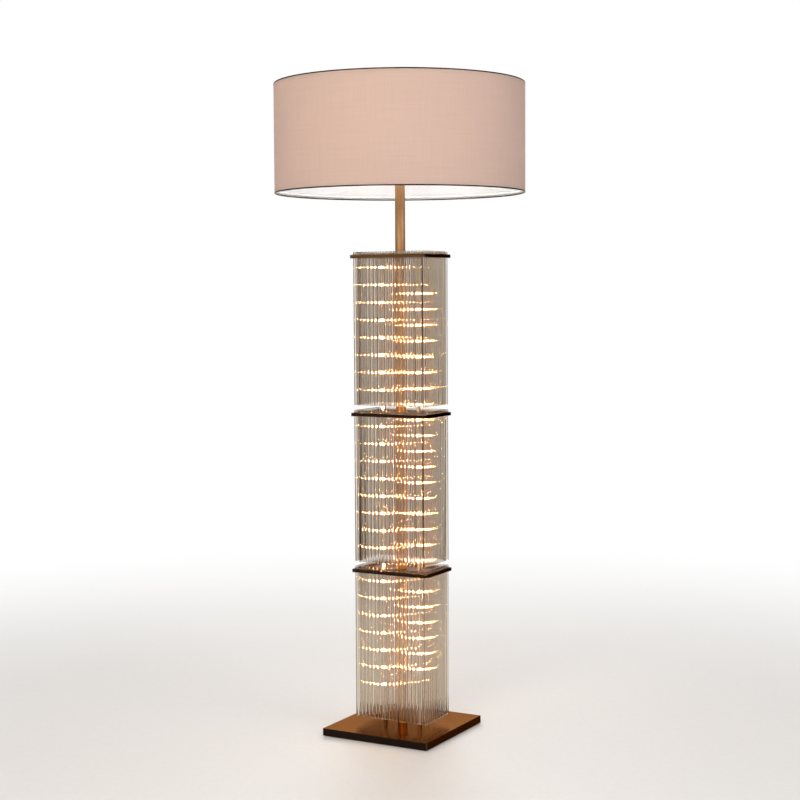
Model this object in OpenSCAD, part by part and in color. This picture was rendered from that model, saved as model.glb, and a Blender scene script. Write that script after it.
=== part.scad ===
// Column floor lamp. Three tiers of clear glass rods hang round a brass tube on a square base,
// and a wide drum shade stands above them. Millimetres, +Z up.
// The origin is on the floor, under the middle of the base. The long side of the column runs along X,
// and the front of the lamp faces -Y.

/* [Base] */
// Side of the square base plate
base_side = 308; // [260:1:400]
// Thickness of the base plate
base_t = 19.5; // [19:0.5:30]
// Chamfer along the base plate's edges
base_edge = 0.8; // [0.3:0.1:2]
// Thickness of the felt under the base
felt_t = 1.5; // [1:0.5:3]
// Distance of the felt's edge from the base plate's edge
felt_inset = 3; // [1:1:8]

/* [Wiring pocket] */
// Length of the pocket under the base, along X
pocket_l = 200; // [160:1:210]
// Width of the pocket, along Y
pocket_w = 120; // [115:1:160]
// Depth of the pocket, from the base plate's underside
pocket_d = 15; // [14.5:0.5:15.5]
// Thickness of the pocket's steel cover
cover_t = 2; // [1.5:0.1:2]
// Width of the ledge that the cover rests on
cover_lip = 12; // [10:1:16]
// Radius of a cover screw's shank
cover_screw_r = 2; // [1.5:0.1:2.5]
// Length of a cover screw
cover_screw_l = 9; // [6:0.5:11]
// Length of the LED driver
driver_l = 120; // [112:1:150]
// Width of the LED driver
driver_w = 30; // [20:1:32]
// Height of the LED driver
driver_h = 10; // [8:0.5:10]
// Distance from the lamp's axis to the driver's near side
driver_y = 23; // [18:1:24]
// Length of the terminal block, along X
block_l = 30; // [16:1:40]
// Width of the terminal block, along Y
block_w = 18; // [12:1:20]
// Height of the terminal block
block_h = 10; // [9:0.5:10]
// Distance from the lamp's axis to the terminal block's near side
block_y = 22; // [14:1:30]

/* [Cord gland] */
// Radius of the gland's bore
gland_bore_r = 3.6; // [2.5:0.1:4]
// Radius of the gland's barrel
gland_r = 6; // [5:0.1:6.5]
// Length of the barrel in the base plate
gland_l = 14; // [8:1:30]
// How much wider the cord's channel is than the gland's bore
channel_ease = 0.9; // [0.3:0.1:1.3]
// Radius of the gland's flange
gland_flange_r = 7.5; // [7:0.1:8]
// Thickness of the flange on the back edge
gland_flange_t = 2; // [1:0.5:4]

/* [Column] */
// Height of one tier, from one plate's top to the next one's top
tier_h = 411; // [300:1:450]
// Length of a column plate, along X
plate_l = 221; // [190:1:260]
// Width of a column plate, along Y
plate_w = 141; // [120:1:180]
// Thickness of a column plate
plate_t = 9; // [6:0.5:12]
// Chamfer along the column plates' edges
plate_edge = 0.5; // [0.2:0.1:1.5]
// Radius of the brass column tubes and stem
tube_r = 13; // [12.5:0.5:16]
// Wall of the column tubes and stem
tube_wall = 1.5; // [1:0.1:2.5]
// Length of a centring plug
plug_l = 12; // [8:1:20]
// Length of the stem above the top plate
stem_l = 220; // [200:1:230]

/* [Tie rod] */
// Radius of the hollow threaded rod
tie_r = 5; // [4.5:0.1:5.5]
// Radius of the rod's bore
tie_bore_r = 3.5; // [3:0.1:3.8]
// Thickness of the washer under the pocket's roof
washer_t = 1.5; // [1:0.1:2]
// Radius of the washer
washer_r = 11; // [10.5:0.5:14]
// Thickness of the nut under the washer
nut_t = 5; // [4:0.5:5.5]
// Distance across the nut's flats
nut_flats = 17; // [15:0.5:19]
// Length of thread that shows below the nut
tie_tail = 0.5; // [0.2:0.1:0.8]
// Length of thread in the riser
tie_thread = 10; // [8:1:11]

/* [Glass rods] */
// Radius of a glass rod
rod_r = 4; // [3:0.1:4.2]
// Least gap between the rings of two rods next to each other
rod_space = 0.2; // [0.1:0.1:8]
// Distance of the rods' axes from the plate's edge
rod_inset = 9; // [8:0.5:14]
// Height of a rod's top end above its plate
rod_head = 8; // [5:0.5:14]
// Height of a rod's free lower end above the plate or base below it
rod_gap = 19; // [16:0.5:40]
// Chamfer on a rod's ends
rod_edge = 0.6; // [0.3:0.1:1.2]
// Width of the ring that holds a rod up
rod_ring_w = 1; // [0.7:0.1:1]
// Thickness of that ring
rod_ring_t = 2.5; // [1:0.5:4]

/* [LED sticks] */
// Distance of each stick from the lamp's axis
stick_x = 52; // [35:1:54]
// Side of a stick's square section
stick_w = 8; // [6:0.5:10]
// Thickness of the foot at each end of a stick
foot_t = 1; // [0.5:0.1:1.2]
// Width of that foot
foot_w = 14; // [12:0.5:18]
// Side of an LED
led_w = 5; // [3:0.1:5]
// Thickness of an LED
led_t = 1.2; // [0.8:0.1:2]
// Spacing of the left stick's LEDs
left_pitch = 46; // [10:0.5:90]
// Spacing of the right stick's LEDs
right_pitch = 41; // [10:0.5:90]
// Height of the left stick's first LED in each tier, lowest tier first, above the plate or base below it
left_starts = [96, 4, 11];
// Height of the right stick's first LED in each tier
right_starts = [148, 24, 23];
// Least distance from the left stick's last LED in each tier to the plate above it
left_ends = [20, 20, 20];
// Least distance from the right stick's last LED in each tier to the plate above it
right_ends = [5, 5, 60];
// Radius of the leads that join the sticks to each other and to the driver
lead_r = 1.2; // [0.8:0.1:1.5]
// Radius of the lamp cable in the tie rod
cable_r = 2; // [1.2:0.1:2]

/* [Lampholders and bulbs] */
// Gap between the riser and each bulb's globe
globe_space = 8; // [4:1:16]
// Radius of a lampholder
holder_r = 19; // [17.5:0.1:20]
// Height of a lampholder
holder_h = 46; // [42:1:60]
// Depth of a lampholder's bore
holder_bore_d = 28; // [26:0.5:30]
// Thickness of the plate that carries the lampholders
carrier_t = 5; // [3:0.5:8]
// Width of the rim that a carrier pad leaves round its lampholder
carrier_rim = 2; // [1:0.5:5]
// Width of the carrier's three arms
carrier_arm_w = 26; // [16:1:34]
// Radius of the carrier's middle
carrier_hub_r = 22; // [18:1:26]
// Radius of the screw that holds a lampholder
holder_screw_r = 2; // [1.5:0.1:2.5]
// Depth of that screw in the lampholder
holder_screw_d = 8; // [5:0.5:12]
// Wall of a lampholder's threaded shell
shell_wall = 0.6; // [0.4:0.1:0.8]
// Height of the threaded shell
shell_h = 24; // [15:1:25]
// Thickness of a lampholder's centre contact
contact_t = 2; // [1:0.1:3]
// Radius of the centre contact
contact_r = 5; // [3:0.1:8]
// Radius of a bulb's screw cap
cap_r = 13.2; // [12.8:0.1:13.4]
// Height of the bulb's nub, under its cap
nub_t = 1.5; // [0.8:0.1:2]
// Radius of the nub
nub_r = 4.5; // [3:0.1:6]
// Distance of the globe above the lampholder's rim
globe_lift = 1.3; // [0.5:0.1:4]
// Radius of a bulb's globe
globe_r = 30; // [24:0.5:31]
// Height of a globe, from its neck to its top
globe_h = 84; // [78:1:105]
// Radius of a globe's neck
neck_r = 14.5; // [13.5:0.1:17]

/* [Riser and finial] */
// Radius of the riser that carries the shade
riser_r = 8; // [7:0.5:9]
// Radius of the flange at the riser's foot
riser_foot_r = 12; // [10:0.5:16]
// Thickness of that flange
riser_foot_t = 3; // [2:0.5:5]
// Radius of the wire holes in the riser
wire_hole_r = 2; // [1.7:0.1:2.5]
// Length of the riser's bore left above and below the wire holes
wire_land = 1; // [0.5:0.1:4]
// Radius of the stud on the riser's top
stud_r = 4; // [3:0.1:5]
// Length of thread in the finial
stud_l = 12; // [8:1:16]
// Radius of the finial
finial_r = 9; // [7.5:0.1:14]
// Height of the finial
finial_h = 22; // [20:0.5:26]
// Height of the finial's flat foot
finial_foot_h = 4; // [2:0.5:5]
// Wall of the finial's waist, round the stud
finial_wall = 2; // [1.2:0.1:2.5]
// How far the finial's foot stands out past its knob
finial_lip = 0.5; // [0.2:0.1:1]

/* [Shade] */
// Outer diameter of the shade, over its trims
shade_d = 650; // [500:1:800]
// Height of the shade
shade_h = 280; // [250:1:340]
// Height of the shade's lower rim above the top plate
shade_lift = 158; // [120:1:190]
// Thickness of the shade's fabric
fabric_t = 2; // [1:0.1:3]
// Thickness of the stiff lining behind the fabric
lining_t = 0.8; // [0.4:0.1:1.2]
// Thickness of the trim folded round each rim
trim_t = 0.5; // [0.3:0.1:1]
// Height of the trim
trim_h = 3; // [2:0.5:5]
// Radius of the wire rings and the spider's arms
wire_r = 2.5; // [1.5:0.1:3]
// Distance of each wire ring's axis from the shade's rim
ring_inset = 8; // [8:0.5:14]
// Depth of the spider's hub below the shade's upper rim
spider_drop = 32; // [28:1:50]
// Radius of the spider's hub
hub_r = 20; // [14:1:30]
// Thickness of the spider's hub
hub_t = 3; // [2:0.5:5]
// Number of the spider's arms
arm_count = 4; // [3:1:6]

/* [Clearances] */
// Play between parts that fit in or through each other
fit_play = 0.15; // [0.05:0.05:0.2]
// Play round a glass rod in its hole
rod_play = 0.3; // [0.1:0.1:0.5]
// Radial play of a shade or finial bore on the stud
running_play = 0.08; // [0.03:0.01:0.1]
// Gap between parts that turn on each other
turn_gap = 0.3; // [0.2:0.05:0.4]
// Gap between the cover and the edge of its recess
cover_play = 0.5; // [0.2:0.1:1]
// Gap between the lamp cable and the cover under it, and the riser's roof over it
cable_gap = 0.5; // [0.3:0.1:1]

/* [Hidden] */
$fn = 96;
overshoot = 1;
tiers = 3;
holder_count = 3;

// Heights
base_top = felt_t + base_t;
pocket_roof = felt_t + pocket_d;
pocket_floor = felt_t + cover_t;
function deck_top(k) = base_top + tier_h * k;
function deck_under(k) = deck_top(k) - plate_t;
stem_top = deck_top(tiers) + stem_l;
carrier_top = stem_top + carrier_t;
shade_z = deck_top(tiers) + shade_lift;
shade_top = shade_z + shade_h;
hub_z = shade_top - spider_drop;
riser_top = hub_z - hub_t / 2 - turn_gap;

// Base
gland_z = felt_t + gland_flange_r;
channel_r = gland_bore_r + channel_ease;
screw_x = (pocket_l + cover_lip) / 2;
screw_y = (pocket_w + cover_lip) / 2;
screw_head_r = 2 * cover_screw_r;
cable_z = pocket_floor + cable_r + cable_gap;
lead_z = pocket_roof - driver_h / 2;

// Column
tie_hole_r = tie_r + fit_play;
tie_foot = pocket_roof - washer_t - nut_t - tie_tail;
tie_top = carrier_top + tie_thread;
lead_hole_r = lead_r + fit_play;
row_l = plate_l - 2 * rod_inset;
row_w = plate_w - 2 * rod_inset;
least_pitch = 2 * (rod_r + rod_ring_w) + rod_space;
long_gaps = floor(row_l / least_pitch);
short_gaps = floor(row_w / least_pitch);
function long_x(i) = -row_l / 2 + i * row_l / long_gaps;
function short_y(j) = -row_w / 2 + j * row_w / short_gaps;
rod_l = tier_h - rod_gap + rod_head;

// Lampholders and bulbs
holder_x = riser_r + globe_space + globe_r;
holder_floor = carrier_top + holder_h - holder_bore_d;
shell_in_r = cap_r + turn_gap;
holder_bore_r = shell_in_r + shell_wall + fit_play;
cap_z = holder_floor + contact_t + turn_gap + nub_t;
globe_z = carrier_top + holder_h + globe_lift;
function holder_angle(i) = 90 + 360 / holder_count * i;
branch_z = tie_top + wire_hole_r + wire_land;
riser_cavity = branch_z + wire_hole_r + wire_land;

// Shade
shade_r = shade_d / 2;
fabric_r = shade_r - trim_t;
lining_r = fabric_r - fabric_t;
inner_r = lining_r - lining_t;
ring_r = inner_r - wire_r - fit_play;
arm_r = ring_r - 2 * wire_r - fit_play;

// Colours of the finishes
bronze = "#7a5a35";
satin_brass = "#b98a52";
steel = "#8f9296";
clear_glass = "#cfd8d6";
warm_light = "#ffd9a0";
white_plastic = "#e9e7e1";
white_enamel = "#efece4";
black_plastic = "#26241f";
pale_fabric = "#ddc7b8";

// ---- Shapes that several pieces share ----

// A rectangle with cut corners, centred on X, its foot on Y = 0
module cut_rectangle(l, w, c) {
    polygon([
        [-l / 2 + c, 0], [l / 2 - c, 0], [l / 2, c], [l / 2, w - c],
        [l / 2 - c, w], [-l / 2 + c, w], [-l / 2, w - c], [-l / 2, c]
    ]);
}

// A flat slab on z = 0 with a chamfer along every edge
module chamfered_slab(l, w, t, c) {
    intersection() {
        rotate([90, 0, 0]) linear_extrude(w, center = true) cut_rectangle(l, t, c);
        rotate([90, 0, 90]) linear_extrude(l, center = true) cut_rectangle(w, t, c);
        linear_extrude(t) translate([0, -w / 2]) cut_rectangle(l, w, c);
    }
}

// A straight pipe on z = 0
module pipe(r_out, r_in, h) {
    difference() {
        cylinder(r = r_out, h = h);
        translate([0, 0, -overshoot]) cylinder(r = r_in, h = h + 2 * overshoot);
    }
}

// Its children at both LED sticks
module at_sticks() {
    for (side = [-1, 1]) translate([side * stick_x, 0, 0]) children();
}

// Its children at each lampholder
module at_holders() {
    for (i = [0 : holder_count - 1]) at_holder(i) children();
}

// Its children at lampholder i
module at_holder(i) {
    rotate(holder_angle(i)) translate([holder_x, 0, 0]) children();
}

// ---- Base ----

module base_felt() {
    color(black_plastic)
        linear_extrude(felt_t)
            square(base_side - 2 * felt_inset, center = true);
}

module base_plate() {
    color(bronze)
        difference() {
            translate([0, 0, felt_t]) chamfered_slab(base_side, base_side, base_t, base_edge);
            translate([0, 0, felt_t - overshoot])
                linear_extrude(pocket_d + overshoot) square([pocket_l, pocket_w], center = true);
            translate([0, 0, felt_t - overshoot])
                linear_extrude(cover_t + overshoot)
                    square([pocket_l + 2 * cover_lip, pocket_w + 2 * cover_lip], center = true);
            cylinder(r = tie_hole_r, h = base_top + overshoot);
            at_sticks() cylinder(r = lead_hole_r, h = base_top + overshoot);
            at_cover_screws() cylinder(r = cover_screw_r + fit_play, h = felt_t + cover_screw_l + fit_play);
            cord_channel();
        }
}

// The way in for the cord, from the base's back edge to the pocket
module cord_channel() {
    translate([0, base_side / 2 + overshoot, gland_z]) rotate([90, 0, 0]) {
        cylinder(r = channel_r, h = base_side / 2 + overshoot - pocket_w / 2 + overshoot);
        cylinder(r = gland_r + fit_play, h = gland_l + overshoot + fit_play);
    }
}

module at_cover_screws() {
    for (x = [-1, 1], y = [-1, 1]) translate([x * screw_x, y * screw_y, 0]) children();
}

module base_cover() {
    cover_l = pocket_l + 2 * (cover_lip - cover_play);
    cover_w = pocket_w + 2 * (cover_lip - cover_play);
    color(steel)
        difference() {
            translate([0, 0, felt_t]) linear_extrude(cover_t) square([cover_l, cover_w], center = true);
            at_cover_screws() {
                cylinder(r = cover_screw_r + fit_play, h = pocket_floor + overshoot);
                screw_head(fit_play);
            }
        }
}

// A countersunk head, flush with the cover's underside and grown by the play all round
module screw_head(play) {
    head_t = screw_head_r - cover_screw_r;
    translate([0, 0, felt_t])
        cylinder(r1 = screw_head_r + play, r2 = cover_screw_r + play, h = min(head_t, cover_t));
}

module cover_screws() {
    color(steel)
        at_cover_screws() {
            screw_head(0);
            translate([0, 0, felt_t]) cylinder(r = cover_screw_r, h = cover_screw_l);
        }
}

module cord_gland() {
    color(black_plastic)
        translate([0, base_side / 2 + gland_flange_t, gland_z])
            rotate([90, 0, 0])
                difference() {
                    union() {
                        cylinder(r = gland_flange_r, h = gland_flange_t);
                        cylinder(r = gland_r, h = gland_flange_t + gland_l);
                    }
                    translate([0, 0, -overshoot])
                        cylinder(r = gland_bore_r, h = gland_flange_t + gland_l + 2 * overshoot);
                }
}

module led_driver() {
    color(white_plastic)
        translate([0, -driver_y - driver_w / 2, pocket_roof - driver_h])
            chamfered_slab(driver_l, driver_w, driver_h, base_edge);
}

module terminal_block() {
    color(white_plastic)
        translate([0, block_y + block_w / 2, pocket_roof - block_h])
            chamfered_slab(block_l, block_w, block_h, base_edge);
}

module base_washer() {
    color(steel)
        translate([0, 0, pocket_roof - washer_t]) pipe(washer_r, tie_hole_r, washer_t);
}

module base_nut() {
    color(steel)
        translate([0, 0, pocket_roof - washer_t - nut_t])
            difference() {
                cylinder(r = nut_flats / 2 / cos(30), h = nut_t, $fn = 6);
                translate([0, 0, -overshoot]) cylinder(r = tie_hole_r, h = nut_t + 2 * overshoot);
            }
}

// ---- Column ----

module tie_rod() {
    color(steel)
        translate([0, 0, tie_foot]) pipe(tie_r, tie_bore_r, tie_top - tie_foot);
}

// The cable up the tie rod, its tail to the terminal block and its branch to each lampholder
module lamp_cable() {
    color(white_plastic) {
        translate([0, 0, cable_z]) {
            cylinder(r = cable_r, h = riser_cavity - cable_gap - cable_z);
            sphere(r = cable_r);
            rotate([-90, 0, 0]) cylinder(r = cable_r, h = block_y);
        }
        for (i = [0 : holder_count - 1])
            rotate(holder_angle(i))
                translate([cable_r + fit_play, 0, branch_z])
                    rotate([0, 90, 0])
                        cylinder(r = lead_r, h = holder_x - holder_r - cable_r - 2 * fit_play);
    }
}

// Leads from the driver up to the lowest sticks, and from stick to stick through the plates
module led_leads() {
    color(white_plastic)
        at_sticks() {
            translate([0, 0, lead_z]) {
                cylinder(r = lead_r, h = base_top + foot_t - lead_z);
                sphere(r = lead_r);
                rotate([90, 0, 0]) cylinder(r = lead_r, h = driver_y);
            }
            for (k = [1 : tiers - 1])
                translate([0, 0, deck_under(k) - foot_t])
                    cylinder(r = lead_r, h = plate_t + 2 * foot_t);
        }
}

module column_tube(k) {
    color(satin_brass)
        translate([0, 0, deck_top(k - 1)])
            pipe(tube_r, tube_r - tube_wall, tier_h - plate_t);
}

module stem_tube() {
    color(satin_brass)
        translate([0, 0, deck_top(tiers)]) pipe(tube_r, tube_r - tube_wall, stem_l);
}

module tube_plugs() {
    tube_ends = [
        for (k = [0 : tiers]) deck_top(k),
        for (k = [1 : tiers]) deck_under(k) - plug_l,
        stem_top - plug_l
    ];
    color(steel)
        for (z = tube_ends)
            translate([0, 0, z])
                pipe(tube_r - tube_wall - fit_play, tie_hole_r, plug_l);
}

// Plate k of the column, 1 the lowest, with its rod holes, its tie rod hole and its lead holes
module column_plate(k) {
    color(bronze)
        translate([0, 0, deck_under(k)])
            difference() {
                chamfered_slab(plate_l, plate_w, plate_t, plate_edge);
                translate([0, 0, -overshoot]) {
                    at_rods() cylinder(r = rod_r + rod_play, h = plate_t + 2 * overshoot);
                    cylinder(r = tie_hole_r, h = plate_t + 2 * overshoot);
                    if (k < tiers)
                        at_sticks() cylinder(r = lead_hole_r, h = plate_t + 2 * overshoot);
                }
            }
}

// Its children along a long row of rods: side -1 is the front, 1 the back
module along_long_side(side) {
    for (i = [0 : long_gaps]) translate([long_x(i), side * row_w / 2, 0]) children();
}

// Its children along a short row, between the corner rods: side -1 is the left, 1 the right
module along_short_side(side) {
    for (j = [1 : short_gaps - 1]) translate([side * row_l / 2, short_y(j), 0]) children();
}

module at_rods() {
    for (side = [-1, 1]) {
        along_long_side(side) children();
        along_short_side(side) children();
    }
}

// One glass rod of tier k, with its ends' edges softened
module glass_rod(k) {
    translate([0, 0, deck_top(k - 1) + rod_gap])
        rotate_extrude($fn = 48)
            polygon([
                [0, 0], [rod_r - rod_edge, 0], [rod_r, rod_edge], [rod_r, rod_l - rod_edge],
                [rod_r - rod_edge, rod_l], [0, rod_l]
            ]);
}

module long_rods(k, side) {
    color(clear_glass, 0.5) along_long_side(side) glass_rod(k);
}

module short_rods(k, side) {
    color(clear_glass, 0.5) along_short_side(side) glass_rod(k);
}

// The clear rings that grip the rods of tier k and rest on their plate
module rod_rings(k) {
    color(clear_glass)
        translate([0, 0, deck_top(k)])
            at_rods()
                pipe(rod_r + rod_ring_w, rod_r, rod_ring_t, $fn = 48);
}

// ---- LED sticks ----

module led_stick(side) {
    color(satin_brass)
        for (k = [1 : tiers])
            translate([side * stick_x, 0, deck_top(k - 1) + foot_t])
                linear_extrude(tier_h - plate_t - 2 * foot_t) square(stick_w, center = true);
}

module stick_feet() {
    color(satin_brass)
        at_sticks()
            for (k = [1 : tiers], z = [deck_top(k - 1), deck_under(k) - foot_t])
                translate([0, 0, z])
                    difference() {
                        linear_extrude(foot_t) square(foot_w, center = true);
                        translate([0, 0, -overshoot]) cylinder(r = lead_hole_r, h = foot_t + 2 * overshoot);
                    }
}

// LEDs on the front and back of one stick. In each tier they go up from the first one's height, as many as
// fit below the height that the last one keeps clear.
module leds(side, starts, ends, pitch) {
    color(warm_light)
        for (k = [0 : tiers - 1], z = [starts[k] : pitch : tier_h - plate_t - ends[k]], face = [-1, 1])
            translate([side * stick_x, face * (stick_w + led_t) / 2, deck_top(k) + z])
                cube([led_w, led_t, led_w], center = true);
}

// ---- Lampholders and bulbs ----

module lamp_carrier() {
    pad_r = holder_r + carrier_rim;
    color(bronze)
        translate([0, 0, stem_top])
            difference() {
                union() {
                    cylinder(r = carrier_hub_r, h = carrier_t);
                    at_holders() cylinder(r = pad_r, h = carrier_t);
                    for (i = [0 : holder_count - 1])
                        rotate(holder_angle(i))
                            translate([0, -carrier_arm_w / 2, 0]) cube([holder_x, carrier_arm_w, carrier_t]);
                }
                translate([0, 0, -overshoot]) {
                    cylinder(r = tie_hole_r, h = carrier_t + 2 * overshoot);
                    at_holders()
                        cylinder(r = holder_screw_r + fit_play, h = carrier_t + 2 * overshoot);
                }
            }
}

module lampholders() {
    color(black_plastic)
        at_holders()
            translate([0, 0, carrier_top])
                difference() {
                    cylinder(r = holder_r, h = holder_h);
                    translate([0, 0, holder_h - holder_bore_d])
                        cylinder(r = holder_bore_r, h = holder_bore_d + overshoot);
                    translate([0, 0, -overshoot])
                        cylinder(r = holder_screw_r + fit_play, h = holder_screw_d + fit_play + overshoot);
                }
}

module holder_shells() {
    color(satin_brass)
        at_holders()
            translate([0, 0, holder_floor]) pipe(shell_in_r + shell_wall, shell_in_r, shell_h);
}

module holder_contacts() {
    color(satin_brass)
        at_holders()
            translate([0, 0, holder_floor]) cylinder(r = contact_r, h = contact_t);
}

module holder_screws() {
    head_t = 1.2 * holder_screw_r;
    color(steel)
        at_holders() {
            translate([0, 0, stem_top - head_t]) cylinder(r = 2 * holder_screw_r, h = head_t);
            translate([0, 0, stem_top]) cylinder(r = holder_screw_r, h = carrier_t + holder_screw_d);
        }
}

module bulb_cap(i) {
    color(steel)
        at_holder(i) {
            translate([0, 0, cap_z - nub_t]) cylinder(r = nub_r, h = nub_t);
            translate([0, 0, cap_z]) cylinder(r = cap_r, h = globe_z - cap_z);
        }
}

// A bulb's globe: a round ball that draws in to the neck
module bulb_globe(i) {
    ball_z = globe_h - globe_r;
    low_angle = -35;
    blend_top = ball_z + globe_r * sin(low_angle);
    blend_r = globe_r * cos(low_angle);
    steps = 8;
    neck = [
        for (s = [0 : steps - 1])
            let (u = s / steps, ease = u * u * (3 - 2 * u))
                [neck_r + (blend_r - neck_r) * ease, blend_top * u]
    ];
    ball = [
        for (s = [0 : 2 * steps])
            let (angle = low_angle + (90 - low_angle) * s / (2 * steps))
                [max(globe_r * cos(angle), 0), ball_z + globe_r * sin(angle)]
    ];
    color(white_plastic)
        at_holder(i)
            translate([0, 0, globe_z])
                rotate_extrude() polygon(concat([[0, 0]], neck, ball));
}

// ---- Riser and finial ----

module riser() {
    color(satin_brass)
        difference() {
            union() {
                translate([0, 0, carrier_top]) cylinder(r = riser_r, h = riser_top - carrier_top);
                translate([0, 0, carrier_top]) cylinder(r = riser_foot_r, h = riser_foot_t);
                translate([0, 0, riser_top]) cylinder(r = stud_r, h = hub_t + 2 * turn_gap + stud_l);
            }
            translate([0, 0, carrier_top - overshoot])
                cylinder(r = tie_hole_r, h = riser_cavity - carrier_top + overshoot);
            for (i = [0 : holder_count - 1])
                rotate(holder_angle(i))
                    translate([0, 0, branch_z])
                        rotate([0, 90, 0]) cylinder(r = wire_hole_r, h = riser_foot_r + overshoot);
        }
}

// A turned nut: a flat foot, a waist and a round knob, with a blind thread from below
module finial() {
    waist_r = stud_r + finial_wall;
    knob_r = finial_r - finial_lip;
    knob_z = finial_h - knob_r;
    waist_h = 1;
    low_angle = -asin(min((knob_z - finial_foot_h - waist_h) / knob_r, waist_r / knob_r));
    steps = 12;
    foot = [[0, 0], [finial_r, 0], [finial_r, finial_foot_h], [waist_r, finial_foot_h]];
    knob = [
        for (s = [0 : steps])
            let (angle = low_angle + (90 - low_angle) * s / steps)
                [max(knob_r * cos(angle), 0), knob_z + knob_r * sin(angle)]
    ];
    color(satin_brass)
        translate([0, 0, hub_z + hub_t / 2 + turn_gap])
            difference() {
                rotate_extrude() polygon(concat(foot, knob));
                translate([0, 0, -overshoot])
                    cylinder(r = stud_r + running_play, h = stud_l + turn_gap + overshoot);
            }
}

// ---- Shade ----

module spider_hub() {
    color(white_enamel)
        translate([0, 0, hub_z - hub_t / 2]) pipe(hub_r, stud_r + running_play, hub_t);
}

// Arms that run out level from the hub and turn up to the upper ring
module spider_arms() {
    weld = 1;
    rise = shade_top - ring_inset - hub_z;
    color(white_enamel)
        for (i = [0 : arm_count - 1])
            rotate(360 / arm_count * i)
                translate([0, 0, hub_z]) {
                    translate([hub_r - weld, 0, 0])
                        rotate([0, 90, 0]) cylinder(r = wire_r, h = arm_r - hub_r + weld, $fn = 32);
                    translate([arm_r, 0, 0]) {
                        sphere(r = wire_r, $fn = 32);
                        cylinder(r = wire_r, h = rise + wire_r, $fn = 32);
                    }
                }
}

module shade_rings() {
    color(white_enamel)
        for (z = [shade_z + ring_inset, shade_top - ring_inset])
            translate([0, 0, z])
                rotate_extrude() translate([ring_r, 0]) circle(r = wire_r, $fn = 32);
}

module shade_fabric() {
    color(pale_fabric)
        translate([0, 0, shade_z + trim_t]) pipe(fabric_r, lining_r, shade_h - 2 * trim_t);
}

module shade_lining() {
    color(white_plastic)
        translate([0, 0, shade_z + trim_t]) pipe(lining_r, inner_r, shade_h - 2 * trim_t);
}

// The dark edging, folded over each rim from the outside to the inside
module shade_trims() {
    color(bronze) {
        translate([0, 0, shade_z]) shade_trim();
        translate([0, 0, shade_top]) mirror([0, 0, 1]) shade_trim();
    }
}

module shade_trim() {
    rotate_extrude()
        polygon([
            [inner_r - trim_t, 0], [shade_r, 0], [shade_r, trim_h], [fabric_r, trim_h],
            [fabric_r, trim_t], [inner_r, trim_t], [inner_r, trim_h], [inner_r - trim_t, trim_h]
        ]);
}

// ---- Nodes ----

base_felt();
base_plate();
base_cover();
cover_screws();
cord_gland();
led_driver();
terminal_block();
base_washer();
base_nut();
tie_rod();
lamp_cable();
led_leads();
column_tube(1);  // column_tube_lower
column_tube(2);  // column_tube_middle
column_tube(3);  // column_tube_upper
stem_tube();
tube_plugs();
column_plate(1);  // plate_lower
column_plate(2);  // plate_middle
column_plate(3);  // plate_top
long_rods(1, -1);  // rods_front_lower
long_rods(1, 1);  // rods_back_lower
short_rods(1, -1);  // rods_left_lower
short_rods(1, 1);  // rods_right_lower
long_rods(2, -1);  // rods_front_middle
long_rods(2, 1);  // rods_back_middle
short_rods(2, -1);  // rods_left_middle
short_rods(2, 1);  // rods_right_middle
long_rods(3, -1);  // rods_front_upper
long_rods(3, 1);  // rods_back_upper
short_rods(3, -1);  // rods_left_upper
short_rods(3, 1);  // rods_right_upper
rod_rings(1);  // rod_rings_lower
rod_rings(2);  // rod_rings_middle
rod_rings(3);  // rod_rings_upper
led_stick(-1);  // led_stick_left
led_stick(1);  // led_stick_right
stick_feet();
leds(-1, left_starts, left_ends, left_pitch);  // leds_left
leds(1, right_starts, right_ends, right_pitch);  // leds_right
lamp_carrier();
lampholders();
holder_shells();
holder_contacts();
holder_screws();
riser();
bulb_cap(0);  // bulb_cap_a
bulb_globe(0);  // bulb_globe_a
bulb_cap(1);  // bulb_cap_b
bulb_globe(1);  // bulb_globe_b
bulb_cap(2);  // bulb_cap_c
bulb_globe(2);  // bulb_globe_c
spider_hub();
spider_arms();
shade_rings();
shade_fabric();
shade_lining();
shade_trims();
finial();
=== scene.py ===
"""Column floor lamp: tiers of clear glass rods round a brass tube, under a wide drum shade.

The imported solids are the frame. This file gives them their finishes and makes the pieces that need a finer
shape: rods, rings, light-emitting diodes, screws, lampholders, bulbs, finial, felt and the shade's cloth,
lining, edging and wire. Sizes in the classes are millimetres, and every mesh is in metres.
"""

import logging
import math
from dataclasses import dataclass, replace
from enum import Enum
from functools import cache
from typing import Any, Sequence

import bmesh
import bpy
from mathutils import Matrix, Vector


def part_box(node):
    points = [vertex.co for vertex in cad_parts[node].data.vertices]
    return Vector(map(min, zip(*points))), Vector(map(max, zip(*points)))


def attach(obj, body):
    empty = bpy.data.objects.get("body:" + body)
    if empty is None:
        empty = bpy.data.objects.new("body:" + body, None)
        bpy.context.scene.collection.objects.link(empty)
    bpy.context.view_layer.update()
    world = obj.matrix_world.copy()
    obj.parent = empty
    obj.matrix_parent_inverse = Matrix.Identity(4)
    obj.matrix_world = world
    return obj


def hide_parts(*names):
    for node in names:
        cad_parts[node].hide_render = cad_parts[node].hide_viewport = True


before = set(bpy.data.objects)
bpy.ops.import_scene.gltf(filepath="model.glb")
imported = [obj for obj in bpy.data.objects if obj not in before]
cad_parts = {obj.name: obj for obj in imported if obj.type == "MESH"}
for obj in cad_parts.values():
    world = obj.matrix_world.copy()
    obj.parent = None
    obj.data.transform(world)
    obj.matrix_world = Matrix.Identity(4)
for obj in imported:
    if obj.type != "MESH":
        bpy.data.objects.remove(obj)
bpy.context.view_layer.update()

MM = 0.001
LOG = logging.getLogger("floor_lamp")
Colour = tuple[float, float, float, float]
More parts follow.
